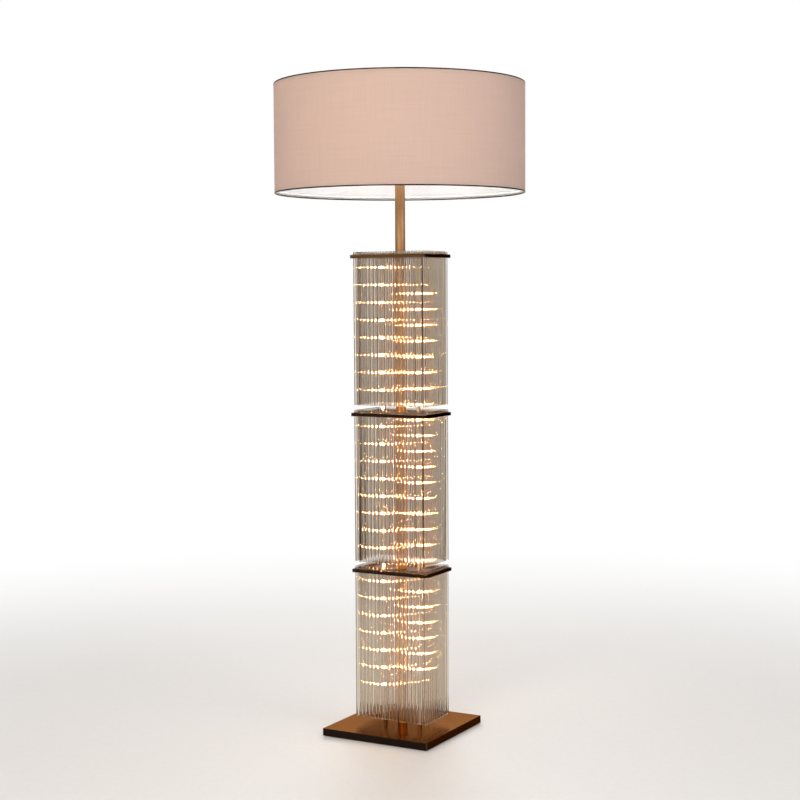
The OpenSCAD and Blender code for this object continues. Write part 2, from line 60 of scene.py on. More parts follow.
Profile = Sequence[tuple[float, float]]
Tree = bpy.types.NodeTree
Node = bpy.types.Node
Socket = bpy.types.NodeSocket
Piece = bpy.types.Object


def colour(code: str) -> Colour:
    """Turns a colour as it is seen into the linear one that Blender shades with.

    Args:
        code: sRGB colour, such as "#b98a52".

    Returns:
        Linear red, green and blue, and an alpha of 1.
    """
    shown = [int(code[i : i + 2], 16) / 255 for i in (1, 3, 5)]
    linear = [c / 12.92 if c <= 0.04045 else ((c + 0.055) / 1.055) ** 2.4 for c in shown]
    return (*linear, 1.0)


def fill(tree: Tree, node: Node, inputs: dict[Any, Any]) -> None:
    """Sets a node's inputs.

    Args:
        tree: Node tree that the node is in.
        node: The node.
        inputs: What each input holds, by its name or number: a value, or another node's output to link.
    """
    for key, value in inputs.items():
        if isinstance(value, Socket):
            tree.links.new(value, node.inputs[key])
        else:
            node.inputs[key].default_value = value


def add(tree: Tree, kind: str, inputs: dict[Any, Any] | None = None, **settings: Any) -> Node:
    """Adds a node with its settings and links.

    Args:
        tree: Node tree that the node goes into.
        kind: Blender's name for the node's type.
        inputs: What each input holds, as fill takes it.
        settings: The node's own properties.

    Returns:
        The new node.
    """
    node = tree.nodes.new(kind)
    for name, value in settings.items():
        setattr(node, name, value)
    fill(tree, node, inputs or {})
    return node


def show(name: str, data: bpy.types.ID) -> Piece:
    """Puts a new object into the scene.

    Args:
        name: Its name.
        data: Its mesh, lamp or camera.

    Returns:
        The object, at the origin.
    """
    made = bpy.data.objects.new(name, data)
    bpy.context.scene.collection.objects.link(made)
    return made


def solid(name: str, mesh: bmesh.types.BMesh, material: bpy.types.Material) -> Piece:
    """Puts a finished mesh into the scene, and frees the one that it was made in.

    Args:
        name: The object's name.
        mesh: The mesh in the making.
        material: Its material.

    Returns:
        The object, at the origin.
    """
    data = bpy.data.meshes.new(name)
    mesh.to_mesh(data)
    mesh.free()
    data.materials.append(material)
    return show(name, data)


# ---- Finishes ----


class Stroke(Enum):
    """The way that a metal's brush strokes run, as the axes along which they are long."""

    ALONG_X = (1, 0, 0)
    ALONG_Z = (0, 0, 1)
    ROUND_Z = (1, 1, 0)


@dataclass(frozen=True)
class Finish:
    """A finish: the name of its material and the material slot that it belongs to."""

    name: str
    slot: str

    def dress(self, tree: Tree, surface: Node) -> None:
        """Adds the finish's own nodes.

        Args:
            tree: The material's node tree.
            surface: Its Principled node.
        """
        raise NotImplementedError

    def material(self) -> bpy.types.Material:
        """Finds the finish's material, and makes it the first time.

        Returns:
            The material.
        """
        made = bpy.data.materials.get(self.name)
        if made is None:
            made = bpy.data.materials.new(self.name)
            made.use_nodes = True
            self.dress(made.node_tree, made.node_tree.nodes["Principled BSDF"])
        return made

    def mottled(
        self, tree: Tree, spot_mm: float, tones: tuple[str, str], gloss: tuple[float, float], **noise: float
    ) -> tuple[Socket, Socket, Socket]:
        """Makes a cloudy pattern, and a tone and a roughness that follow it.

        Args:
            tree: The material's node tree.
            spot_mm: Size of the pattern's spots, in millimetres.
            tones: The colours at its ends.
            gloss: The roughness at its ends.
            noise: The rest of the noise's settings.

        Returns:
            The pattern, the tone and the roughness.
        """
        place = add(tree, "ShaderNodeTexCoord")
        spots = add(
            tree, "ShaderNodeTexNoise", {"Vector": place.outputs["Object"], "Scale": 1 / (spot_mm * MM), **noise}
        )
        share = spots.outputs["Fac"]
        tone = add(tree, "ShaderNodeMix", {0: share, 6: colour(tones[0]), 7: colour(tones[1])}, data_type="RGBA")
        rough = add(tree, "ShaderNodeMapRange", {"Value": share, "To Min": gloss[0], "To Max": gloss[1]})
        return share, tone.outputs[2], rough.outputs[0]

    def mixed(self, tree: Tree, other: Socket, share: Any) -> None:
        """Puts another shader beside the Principled one.

        Args:
            tree: The material's node tree.
            other: The other shader's output.
            share: How much of the other shader shows, as a number or an output.
        """
        surface = tree.nodes["Principled BSDF"]
        both = add(tree, "ShaderNodeMixShader", {0: share, 1: surface.outputs[0], 2: other})
        fill(tree, tree.nodes["Material Output"], {"Surface": both.outputs[0]})


@dataclass(frozen=True)
class BrushedMetal(Finish):
    """Brushed metal: fine strokes one way, a cloudy tone, painted shade on its upright sides, and worn bright
    chamfers.

    Drawn sets how far highlights stretch along the strokes, and rim is the tint at a glancing look.
    """

    light: str
    dark: str
    stroke: Stroke = Stroke.ALONG_Z
    stroke_mm: float = 0.6
    stretch: float = 60.0
    cloud_mm: float = 45.0
    gloss: tuple[float, float] = (0.24, 0.38)
    lacquer: float = 0.2
    drawn: float = 0.0
    rim: str = "#ffffff"
    # Colour of the upright faces: painted shade, darker than the top
    sides: str = ""
    worn: str = ""

    def dress(self, tree: Tree, surface: Node) -> None:
        """Adds strokes, clouds, painted shade on the upright sides, and worn chamfers.

        Args:
            tree: The material's node tree.
            surface: Its Principled node.
        """
        place = add(tree, "ShaderNodeTexCoord")
        across = 1 / (self.stroke_mm * MM)
        scale = [across / self.stretch if long else across for long in self.stroke.value]
        strokes = add(tree, "ShaderNodeMapping", {"Vector": place.outputs["Object"], "Scale": scale})
        grain = add(
            tree, "ShaderNodeTexNoise",
            {"Vector": strokes.outputs[0], "Scale": 1.0, "Detail": 3.0, "Roughness": 0.6},
        )
        clouds = add(
            tree, "ShaderNodeTexNoise",
            {"Vector": place.outputs["Object"], "Scale": 1 / (self.cloud_mm * MM), "Detail": 5.0, "Distortion": 0.4},
        )
        both = add(tree, "ShaderNodeMath", {0: clouds.outputs["Fac"], 1: grain.outputs["Fac"]}, operation="ADD")
        share = add(
            tree, "ShaderNodeMapRange", {"Value": both.outputs[0], "From Min": 0.75, "From Max": 1.3},
            interpolation_type="SMOOTHSTEP",
        )
        tone = add(
            tree, "ShaderNodeMix",
            {0: share.outputs[0], 6: colour(self.dark), 7: colour(self.light)}, data_type="RGBA",
        )
        smooth, dull = self.gloss
        rough = add(
            tree, "ShaderNodeMapRange",
            {"Value": both.outputs[0], "From Min": 0.7, "From Max": 1.35, "To Min": dull, "To Max": smooth},
        )
        bump = add(tree, "ShaderNodeBump", {"Strength": 0.25, "Distance": 0.02 * MM, "Height": grain.outputs["Fac"]})
        fill(tree, surface, {
            # Base colour with painted shade on the upright sides and wear on the chamfers, where worn is set
            "Base Color": self.age(tree, place, clouds, tone.outputs[2]) if self.worn else tone.outputs[2],
            "Roughness": rough.outputs[0], "Normal": bump.outputs[0], "Metallic": 1.0,
            "Specular Tint": colour(self.rim), "Coat Weight": self.lacquer, "Coat Roughness": 0.12,
            "Anisotropic": self.drawn, "Anisotropic Rotation": 0.25,
        })

    def age(self, tree: Tree, place: Node, clouds: Node, base: Socket) -> Socket:
        """Paints shade on the upright faces, darker than the top, and brightens the worn chamfers, which look along
        no single axis.

        Args:
            tree: The material's node tree.
            place: Its texture coordinates.
            clouds: The noise that breaks the wear up.
            base: The polished colour.

        Returns:
            The colour with painted shade on its sides and wear on its chamfers.
        """
        # Painted shade: faces that look sideways take the sides colour
        faces = add(tree, "ShaderNodeVectorMath", {0: place.outputs["Normal"]}, operation="ABSOLUTE")
        parts = add(tree, "ShaderNodeSeparateXYZ", {0: faces.outputs[0]})
        level = add(tree, "ShaderNodeMapRange", {"Value": parts.outputs[2], "From Min": 0.2, "From Max": 0.6})
        dark = add(tree, "ShaderNodeMix", {0: level.outputs[0], 6: colour(self.sides), 7: base}, data_type="RGBA")
        wide = add(tree, "ShaderNodeMath", {0: parts.outputs[0], 1: parts.outputs[1]}, operation="MAXIMUM")
        most = add(tree, "ShaderNodeMath", {0: wide.outputs[0], 1: parts.outputs[2]}, operation="MAXIMUM")
        slant = add(
            tree, "ShaderNodeMapRange",
            {"Value": most.outputs[0], "From Min": 0.95, "From Max": 0.75, "To Max": 1.4},
        )
        wear = add(
            tree, "ShaderNodeMath", {0: slant.outputs[0], 1: clouds.outputs["Fac"]},
            operation="MULTIPLY", use_clamp=True,
        )
        rubbed = add(
            tree, "ShaderNodeMix", {0: wear.outputs[0], 6: dark.outputs[2], 7: colour(self.worn)}, data_type="RGBA"
        )
        return rubbed.outputs[2]


@dataclass(frozen=True)
class ClearGlass(Finish):
    """Drawn clear glass: faint lengthwise draw lines, and an even, faintly warm body."""

    tint: str = "#e6ddd0"
    line_mm: float = 1.2
    stretch: float = 80.0
    gloss: tuple[float, float] = (0.01, 0.045)
    bend: float = 1.47

    def dress(self, tree: Tree, surface: Node) -> None:
        """Adds draw lines to the glass, and lets lamps shine through it.

        Args:
            tree: The material's node tree.
            surface: Its Principled node.
        """
        place = add(tree, "ShaderNodeTexCoord")
        across = 1 / (self.line_mm * MM)
        drawn = add(
            tree, "ShaderNodeMapping",
            {"Vector": place.outputs["Object"], "Scale": [across, across, across / self.stretch]},
        )
        lines = add(tree, "ShaderNodeTexNoise", {"Vector": drawn.outputs[0], "Scale": 1.0, "Detail": 1.0})
        smooth, dull = self.gloss
        rough = add(tree, "ShaderNodeMapRange", {"Value": lines.outputs["Fac"], "To Min": smooth, "To Max": dull})
        bump = add(tree, "ShaderNodeBump", {"Strength": 0.08, "Distance": 0.02 * MM, "Height": lines.outputs["Fac"]})
        fill(tree, surface, {
            "Base Color": colour(self.tint), "Roughness": rough.outputs[0], "Normal": bump.outputs[0],
            "Transmission Weight": 1.0, "IOR": self.bend,
        })
        open_way = add(tree, "ShaderNodeBsdfTransparent", {"Color": colour(self.tint)})
        light = add(tree, "ShaderNodeLightPath")
        self.mixed(tree, open_way.outputs[0], light.outputs["Is Shadow Ray"])


@dataclass(frozen=True)
class Silicone(Finish):
    """Clear moulded silicone: a faint haze, and a soft skin."""

    tint: str = "#c9c2b4"
    pale: str = "#ddd8cc"
    mottle_mm: float = 1.5
    gloss: tuple[float, float] = (0.12, 0.3)
    clear: float = 0.92
    bend: float = 1.41

    def dress(self, tree: Tree, surface: Node) -> None:
        """Adds the hazy body and the skin's mottle.

        Args:
            tree: The material's node tree.
            surface: Its Principled node.
        """
        _, tone, rough = self.mottled(tree, self.mottle_mm, (self.tint, self.pale), self.gloss, Detail=3.0)
        fill(tree, surface, {
            "Base Color": tone, "Roughness": rough, "Transmission Weight": self.clear, "IOR": self.bend,
        })


@dataclass(frozen=True)
class Moulded(Finish):
    """Moulded plastic: a fine spark-eroded texture and slight flow marks."""

    body: str
    fleck: str
    grit_mm: float = 0.5
    flow_mm: float = 18.0
    gloss: tuple[float, float] = (0.35, 0.5)

    def dress(self, tree: Tree, surface: Node) -> None:
        """Adds grit and flow marks.

        Args:
            tree: The material's node tree.
            surface: Its Principled node.
        """
        place = add(tree, "ShaderNodeTexCoord")
        grit = add(
            tree, "ShaderNodeTexNoise",
            {"Vector": place.outputs["Object"], "Scale": 1 / (self.grit_mm * MM), "Detail": 2.0},
        )
        _, tone, rough = self.mottled(
            tree, self.flow_mm, (self.body, self.fleck), self.gloss, Detail=3.0, Distortion=1.0
        )
        bump = add(tree, "ShaderNodeBump", {"Strength": 0.3, "Distance": 0.03 * MM, "Height": grit.outputs["Fac"]})
        fill(tree, surface, {"Base Color": tone, "Roughness": rough, "Normal": bump.outputs[0]})


@dataclass(frozen=True)
class Felt(Finish):
    """Pressed wool felt: matted short fibres with a few pale hairs."""

    body: str = "#1c1b1b"
    hair: str = "#4b4743"
    fibre_mm: float = 1.2

    def dress(self, tree: Tree, surface: Node) -> None:
        """Adds the matted fibres.

        Args:
            tree: The material's node tree.
            surface: Its Principled node.
        """
        place = add(tree, "ShaderNodeTexCoord")
        fibre = add(
            tree, "ShaderNodeTexNoise",
            {"Vector": place.outputs["Object"], "Scale": 1 / (self.fibre_mm * MM), "Detail": 6.0, "Distortion": 2.5},
        )
        pale = add(tree, "ShaderNodeMapRange", {"Value": fibre.outputs["Fac"], "From Min": 0.5, "From Max": 0.75})
        tone = add(
            tree, "ShaderNodeMix", {0: pale.outputs[0], 6: colour(self.body), 7: colour(self.hair)}, data_type="RGBA"
        )
        bump = add(tree, "ShaderNodeBump", {"Strength": 0.8, "Distance": 0.3 * MM, "Height": fibre.outputs["Fac"]})
        fill(tree, surface, {
            "Base Color": tone.outputs[2], "Normal": bump.outputs[0], "Roughness": 0.95, "Sheen Weight": 0.35,
        })


@dataclass(frozen=True)
class WovenCloth(Finish):
    """Plain weave of cotton and linen: threads over and under, slubs both ways, and light through it."""

    light: str = "#f5e0d3"
    dark: str = "#e8d0c2"
    thread_mm: float = 1.4
    slub_mm: float = 3.0
    slub_stretch: float = 45.0
    glow: float = 0.47

    def dress(self, tree: Tree, surface: Node) -> None:
        """Adds threads and slubs on the cloth's own UV map, which is in metres.

        The real threads are 0.5 mm apart. They are drawn 1.4 mm apart, so that the weave shows at all.

        Args:
            tree: The material's node tree.
            surface: Its Principled node.
        """
        flat = add(tree, "ShaderNodeUVMap", uv_map="Surface")
        ways = add(tree, "ShaderNodeSeparateXYZ", {0: flat.outputs[0]})
        pull = math.pi / (self.thread_mm * MM)
        waves, heights, slubs = [], [], []
        for way in (0, 1):
            phase = add(tree, "ShaderNodeMath", {0: ways.outputs[way], 1: pull}, operation="MULTIPLY")
            wave = add(tree, "ShaderNodeMath", {0: phase.outputs[0]}, operation="SINE")
            height = add(tree, "ShaderNodeMath", {0: wave.outputs[0]}, operation="ABSOLUTE")
            scale = [1 / (self.slub_mm * MM), 1 / (self.slub_mm * MM), 1.0]
            scale[1 - way] /= self.slub_stretch
            laid = add(tree, "ShaderNodeMapping", {"Vector": flat.outputs[0], "Scale": scale})
            slub = add(tree, "ShaderNodeTexNoise", {"Vector": laid.outputs[0], "Scale": 1.0, "Detail": 2.0})
            waves.append(wave.outputs[0])
            heights.append(height.outputs[0])
            slubs.append(slub.outputs["Fac"])
        crossing = add(tree, "ShaderNodeMath", {0: waves[0], 1: waves[1]}, operation="MULTIPLY")
        over = add(tree, "ShaderNodeMath", {0: crossing.outputs[0], 1: 0.0}, operation="GREATER_THAN")
        weave = add(tree, "ShaderNodeMix", {0: over.outputs[0], 2: heights[0], 3: heights[1]}, data_type="FLOAT")
        slub = add(tree, "ShaderNodeMath", {0: slubs[0], 1: slubs[1]}, operation="ADD")
        depth = add(tree, "ShaderNodeMath", {0: weave.outputs[0], 1: slub.outputs[0]}, operation="MULTIPLY")
        share = add(
            tree, "ShaderNodeMapRange", {"Value": depth.outputs[0], "From Min": 0.2, "From Max": 1.1}, clamp=True
        )
        tone = add(
            tree, "ShaderNodeMix",
            {0: share.outputs[0], 6: colour(self.dark), 7: colour(self.light)}, data_type="RGBA",
        )
        bump = add(tree, "ShaderNodeBump", {"Strength": 0.45, "Distance": 0.25 * MM, "Height": depth.outputs[0]})
        rough = add(tree, "ShaderNodeMapRange", {"Value": depth.outputs[0], "To Min": 0.92, "To Max": 0.78})
        fill(tree, surface, {
            "Base Color": tone.outputs[2], "Roughness": rough.outputs[0], "Normal": bump.outputs[0],
            "Sheen Weight": 0.15,
        })
        through = add(tree, "ShaderNodeBsdfTranslucent", {"Color": tone.outputs[2], "Normal": bump.outputs[0]})
        self.mixed(tree, through.outputs[0], self.glow)


@dataclass(frozen=True)
class LiningSheet(Finish):
    """White styrene sheet: semi-gloss, faintly rippled by rolling, and light through it."""

    body: str = "#fafaf8"
    shade: str = "#f3f2ef"
    ripple_mm: float = 25.0
    gloss: tuple[float, float] = (0.4, 0.55)
    glow: float = 0.45

    def dress(self, tree: Tree, surface: Node) -> None:
        """Adds the ripple and the light through the sheet.

        Args:
            tree: The material's node tree.
            surface: Its Principled node.
        """
        ripple, tone, rough = self.mottled(tree, self.ripple_mm, (self.shade, self.body), self.gloss, Detail=3.0)
        bump = add(tree, "ShaderNodeBump", {"Strength": 0.1, "Distance": 0.2 * MM, "Height": ripple})
        fill(tree, surface, {"Base Color": tone, "Roughness": rough, "Normal": bump.outputs[0]})
        through = add(tree, "ShaderNodeBsdfTranslucent", {"Color": tone})
        self.mixed(tree, through.outputs[0], self.glow)


@dataclass(frozen=True)
class Glowing(Finish):
    """A lit surface, opal or phosphor: a grained body that sends out an even light."""

    body: str
    fleck: str
    light: str
    strength: float
    grain_mm: float = 2.0
    gloss: tuple[float, float] = (0.2, 0.35)

    def dress(self, tree: Tree, surface: Node) -> None:
        """Adds the grain and the light.

        Args:
            tree: The material's node tree.
            surface: Its Principled node.
        """
        _, tone, rough = self.mottled(tree, self.grain_mm, (self.body, self.fleck), self.gloss, Detail=2.0)
        fill(tree, surface, {
            "Base Color": tone, "Roughness": rough, "Emission Color": colour(self.light),
            "Emission Strength": self.strength,
        })


# Patinated bronze, brushed one way and waxed: amber where it catches light, chamfers rubbed bright
# Its upright sides are painted dark as shade
BRONZE = BrushedMetal(
    "Bronze, patinated and brushed", "bronze_plate", "#875f39", "#5f4025", Stroke.ALONG_X, stretch=90, cloud_mm=70,
    gloss=(0.1, 0.24), lacquer=0.0, rim="#d6b9ab", sides="#261e19", worn="#a87c48",
)
# The same bronze on the column's plates, polished further: the diodes next to them mirror in their tops
# Its upright sides are painted dark as shade
BRONZE_POLISHED = replace(BRONZE, name="Bronze, patinated and polished", gloss=(0.03, 0.09), sides="#322117")
# The top plate: the same bronze with its upright edges painted lighter and browner, as the shade's light falls on
# them
BRONZE_PAINTED_LIT_EDGES = replace(BRONZE_POLISHED, name="Bronze, polished, edges painted lit", sides="#5f4329")
# Drawn brass tube with a satin lacquer: straight fine strokes along it, warm and even
BRASS_TUBE = BrushedMetal("Brass tube, satin", "satin_brass", "#cfa271", "#b8895c", Stroke.ALONG_Z, gloss=(0.5, 0.62))
# The same tube inside the column, polished: it catches the light of the sticks in long bright lines
BRASS_POLISHED = replace(
    BRASS_TUBE, name="Brass tube, polished", light="#e6ae64", dark="#cf954e", gloss=(0.24, 0.34), drawn=0.85
)
# Turned brass: strokes run round, so highlights stretch down its side
BRASS_TURNED = BrushedMetal(
    "Brass, turned", "satin_brass", "#d8ab70", "#b07d46", Stroke.ROUND_Z, stroke_mm=0.3, gloss=(0.16, 0.3)
)
# Zinc plating: cool grey, cloudy, with a soft shine
ZINC = BrushedMetal(
    "Steel, zinc plated", "zinc_steel", "#b9bcc0", "#8d9196", Stroke.ALONG_X, cloud_mm=12, gloss=(0.28, 0.46),
    lacquer=0.0,
)
# Nickel plating on the bulbs' caps: bright, turned
NICKEL = BrushedMetal(
    "Nickel plate", "nickel_cap", "#cfccc4", "#a9a59c", Stroke.ROUND_Z, stroke_mm=0.3, gloss=(0.14, 0.26), lacquer=0.0
)
# Rolled bronze edging, nearly black, round the shade's rims
EDGING = BrushedMetal(
    "Bronze edging, dark", "dark_trim", "#4a3224", "#2b1c14", Stroke.ROUND_Z, cloud_mm=30, gloss=(0.3, 0.45)
)
# Fire-polished borosilicate rod: clear, with draw lines
GLASS = ClearGlass("Clear drawn glass", "clear_glass")
# Clear silicone rings that grip the rods
SILICONE = Silicone("Silicone, clear", "clear_silicone")
# Pressed wool felt under the base
WOOL_FELT = Felt("Wool felt, pressed", "black_felt")
# Glass-filled nylon of the gland, spark-eroded texture
NYLON = Moulded("Nylon, black", "black_plastic", "#1f1e1c", "#2b2a27")
# Phenolic of the lampholders, smoother and glossier than the nylon
PHENOLIC = Moulded("Phenolic, black", "black_plastic", "#1b1714", "#2a231e", gloss=(0.18, 0.32))
# White polycarbonate of the driver and the terminal block
POLYCARBONATE = Moulded("Polycarbonate, white", "white_plastic", "#e6e3da", "#dcd8cd")
# Powder coat on the shade's wire frame: white, with a fine orange peel
ENAMEL = Moulded("Powder coat, white", "white_enamel", "#f3f0e9", "#eae6dc", grit_mm=1.2, gloss=(0.25, 0.4))
# Soft vinyl of the cable and leads
VINYL = Moulded("Vinyl sleeve, white", "white_plastic", "#e9e6de", "#dedad0", grit_mm=1.0, gloss=(0.4, 0.55))
# White solder resist over the strip's copper
RESIST = Moulded("Solder resist, white", "white_plastic", "#e4dccb", "#d6cbb5", grit_mm=0.8, gloss=(0.3, 0.45))
# Phosphor under clear resin, lit: amber and grainy
PHOSPHOR = Glowing("Phosphor resin, lit", "warm_led", "#f2c063", "#e0a33c", "#ffc587", 180.0, grain_mm=0.6)
# Opal polycarbonate globe, lit: white with a warm light
OPAL = Glowing("Opal globe, lit", "opal_globe", "#f7f1e6", "#ece2d2", "#ecf3ff", 34.5)
# Cotton and linen of the shade
CLOTH = WovenCloth("Cotton and linen, plain weave", "shade_fabric")
# Styrene sheet that stiffens the cloth
STYRENE = LiningSheet("Styrene sheet, white", "shade_lining")


# ---- Shapes ----


class Shape:
    """A mesh in the making, in metres, where the lamp has it."""

    def __init__(self) -> None:
        """Starts an empty mesh with a UV map for patterns that follow the surface."""
        self.mesh = bmesh.new()
        self.flat = self.mesh.loops.layers.uv.new("Surface")

    def lathe(self, profile: Profile, sides: int, centre: Sequence[float] = (0, 0, 0), ring: bool = False) -> "Shape":
        """Turns a profile round an upright axis.

        Args:
            profile: Radius and height of each point, in millimetres. A radius of 0 closes a pole.
            sides: Number of sides.
            centre: A point of the axis, in metres.
            ring: Whether the profile is a closed loop.

        Returns:
            The shape itself.
        """
        count = len(profile)
        reach = [0.0]
        for (r0, z0), (r1, z1) in zip(profile, [*profile[1:], profile[0]]):
            reach.append(reach[-1] + math.hypot(r1 - r0, z1 - z0) * MM)
        rows = []
        for r, z in profile:
            angles = [math.tau * i / sides for i in range(sides if r > 0 else 1)]
            spots = [(centre[0] + r * MM * math.cos(a), centre[1] + r * MM * math.sin(a)) for a in angles]
            rows.append([self.mesh.verts.new((x, y, centre[2] + z * MM)) for x, y in spots])
        widest = max(r for r, _ in profile) * MM
        for k in range(count if ring else count - 1):
            low, high = rows[k], rows[(k + 1) % count]
            for i in range(sides):
                below = ((low, i, reach[k]), (low, i + 1, reach[k]))
                above = ((high, i + 1, reach[k + 1]), (high, i, reach[k + 1]))
                self.face((*below, *above), sides, widest)
        return self

    def face(self, corners: Sequence[tuple[list[Any], int, float]], sides: int, widest: float) -> None:
        """Adds one face of a turned shape with its UV.

        Args:
            corners: Row of points, number round the axis and distance along the profile, for each corner.
            sides: Number of sides.
            widest: Largest radius, in metres, which sets the UV's scale.
        """
        seen, points = [], []
        for row, i, v in corners:
            point = row[i % len(row)]
            if point not in seen:
                seen.append(point)
                points.append((point, math.tau * widest * i / sides, v))
        if len(points) < 3:
            return
        made = self.mesh.faces.new([p for p, _, _ in points])
        for loop, (_, u, v) in zip(made.loops, points):
            loop[self.flat].uv = (u, v)

    def slab(self, low: Sequence[float], high: Sequence[float], edge: float, steps: int = 2) -> "Shape":
        """Adds a box with rounded edges.

        Args:
            low: Lowest corner, in millimetres.
            high: Highest corner, in millimetres.
            edge: Radius of the edges, in millimetres.
            steps: Faces across each edge.

        Returns:
            The shape itself.
        """
        size = [(b - a) * MM for a, b in zip(low, high)]
        middle = [(a + b) / 2 * MM for a, b in zip(low, high)]
        at = Matrix.Translation(middle) @ Matrix.Diagonal((*size, 1))
        corners = bmesh.ops.create_cube(self.mesh, size=1, matrix=at)["verts"]
        edges = list({e for v in corners for e in v.link_edges})
        bmesh.ops.bevel(self.mesh, geom=edges, offset=edge * MM, segments=steps, profile=0.5, affect="EDGES")
        return self

    def lines(self, points: Sequence[Sequence[float]], loop: bool = False) -> "Shape":
        """Adds a row of bare edges, for a wire to follow.

        Args:
            points: Points of the path, in millimetres.
            loop: Whether the path closes on itself.

        Returns:
            The shape itself.
        """
        made = [self.mesh.verts.new([c * MM for c in p]) for p in points]
        for a, b in zip(made, [*made[1:], *([made[0]] if loop else [])]):
            self.mesh.edges.new((a, b))
        return self

    def piece(self, name: str, finish: Finish, sharp: float = 35.0) -> Piece:
        """Closes the mesh and makes it an object.

        Args:
            name: The piece's name.
            finish: Its finish.
            sharp: Edges that turn by more than this many degrees stay crisp.

        Returns:
            The object, at the origin.
        """
        bmesh.ops.remove_doubles(self.mesh, verts=self.mesh.verts, dist=1e-7)
        bmesh.ops.recalc_face_normals(self.mesh, faces=self.mesh.faces)
        for face in self.mesh.faces:
            face.smooth = True
        for edge in self.mesh.edges:
            edge.smooth = not edge.is_manifold or edge.calc_face_angle(0.0) < math.radians(sharp)
        return solid(name, self.mesh, finish.material())


def dome(radius: float, middle: float, start: float, steps: int = 24) -> list[tuple[float, float]]:
    """Works out a ball's profile, from a level of its side up to its pole.

    Args:
        radius: The ball's radius, in millimetres.
        middle: Height of its centre, in millimetres.
        start: Angle of the lowest point above the centre, in radians.
        steps: Number of steps.

    Returns:
        Radius and height of each point, in millimetres.
    """
    angles = [start + (math.pi / 2 - start) * k / steps for k in range(steps)]
    return [*((radius * math.cos(a), middle + radius * math.sin(a)) for a in angles), (0.0, middle + radius)]


def merge(parts: Sequence[Piece], name: str) -> Piece:
    """Joins pieces of one body and one finish into one.

    Args:
        parts: The pieces, which are used up.
        name: The joined piece's name.

    Returns:
        The joined piece.
    """
    mesh = bmesh.new()
    for part in parts:
        mesh.from_mesh(part.data)
    material = parts[0].data.materials[0]
    for part in parts:
        bpy.data.objects.remove(part)
    return solid(name, mesh, material)


def settle(made: Piece, body: str, finish: Finish, *nodes: str) -> None:
    """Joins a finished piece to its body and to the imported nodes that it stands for.

    Args:
        made: The piece.
        body: The body that it moves with.
        finish: Its finish, whose name is logged.
        nodes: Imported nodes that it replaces.
    """
    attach(made, body)
    if nodes:
        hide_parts(*nodes)
    LOG.info("%s: %d faces, %s, on %s", made.name, len(made.data.polygons), finish.name, body)


def keep(finish: Finish, *nodes: str) -> None:
    """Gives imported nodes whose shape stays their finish.

    Args:
        finish: The finish.
        nodes: The nodes' names.
    """
    for node in nodes:
        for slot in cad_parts[node].material_slots:
            slot.material = finish.material()
        LOG.info("%s: packed shape, %s", node, finish.name)


# ---- Geometry Nodes ----


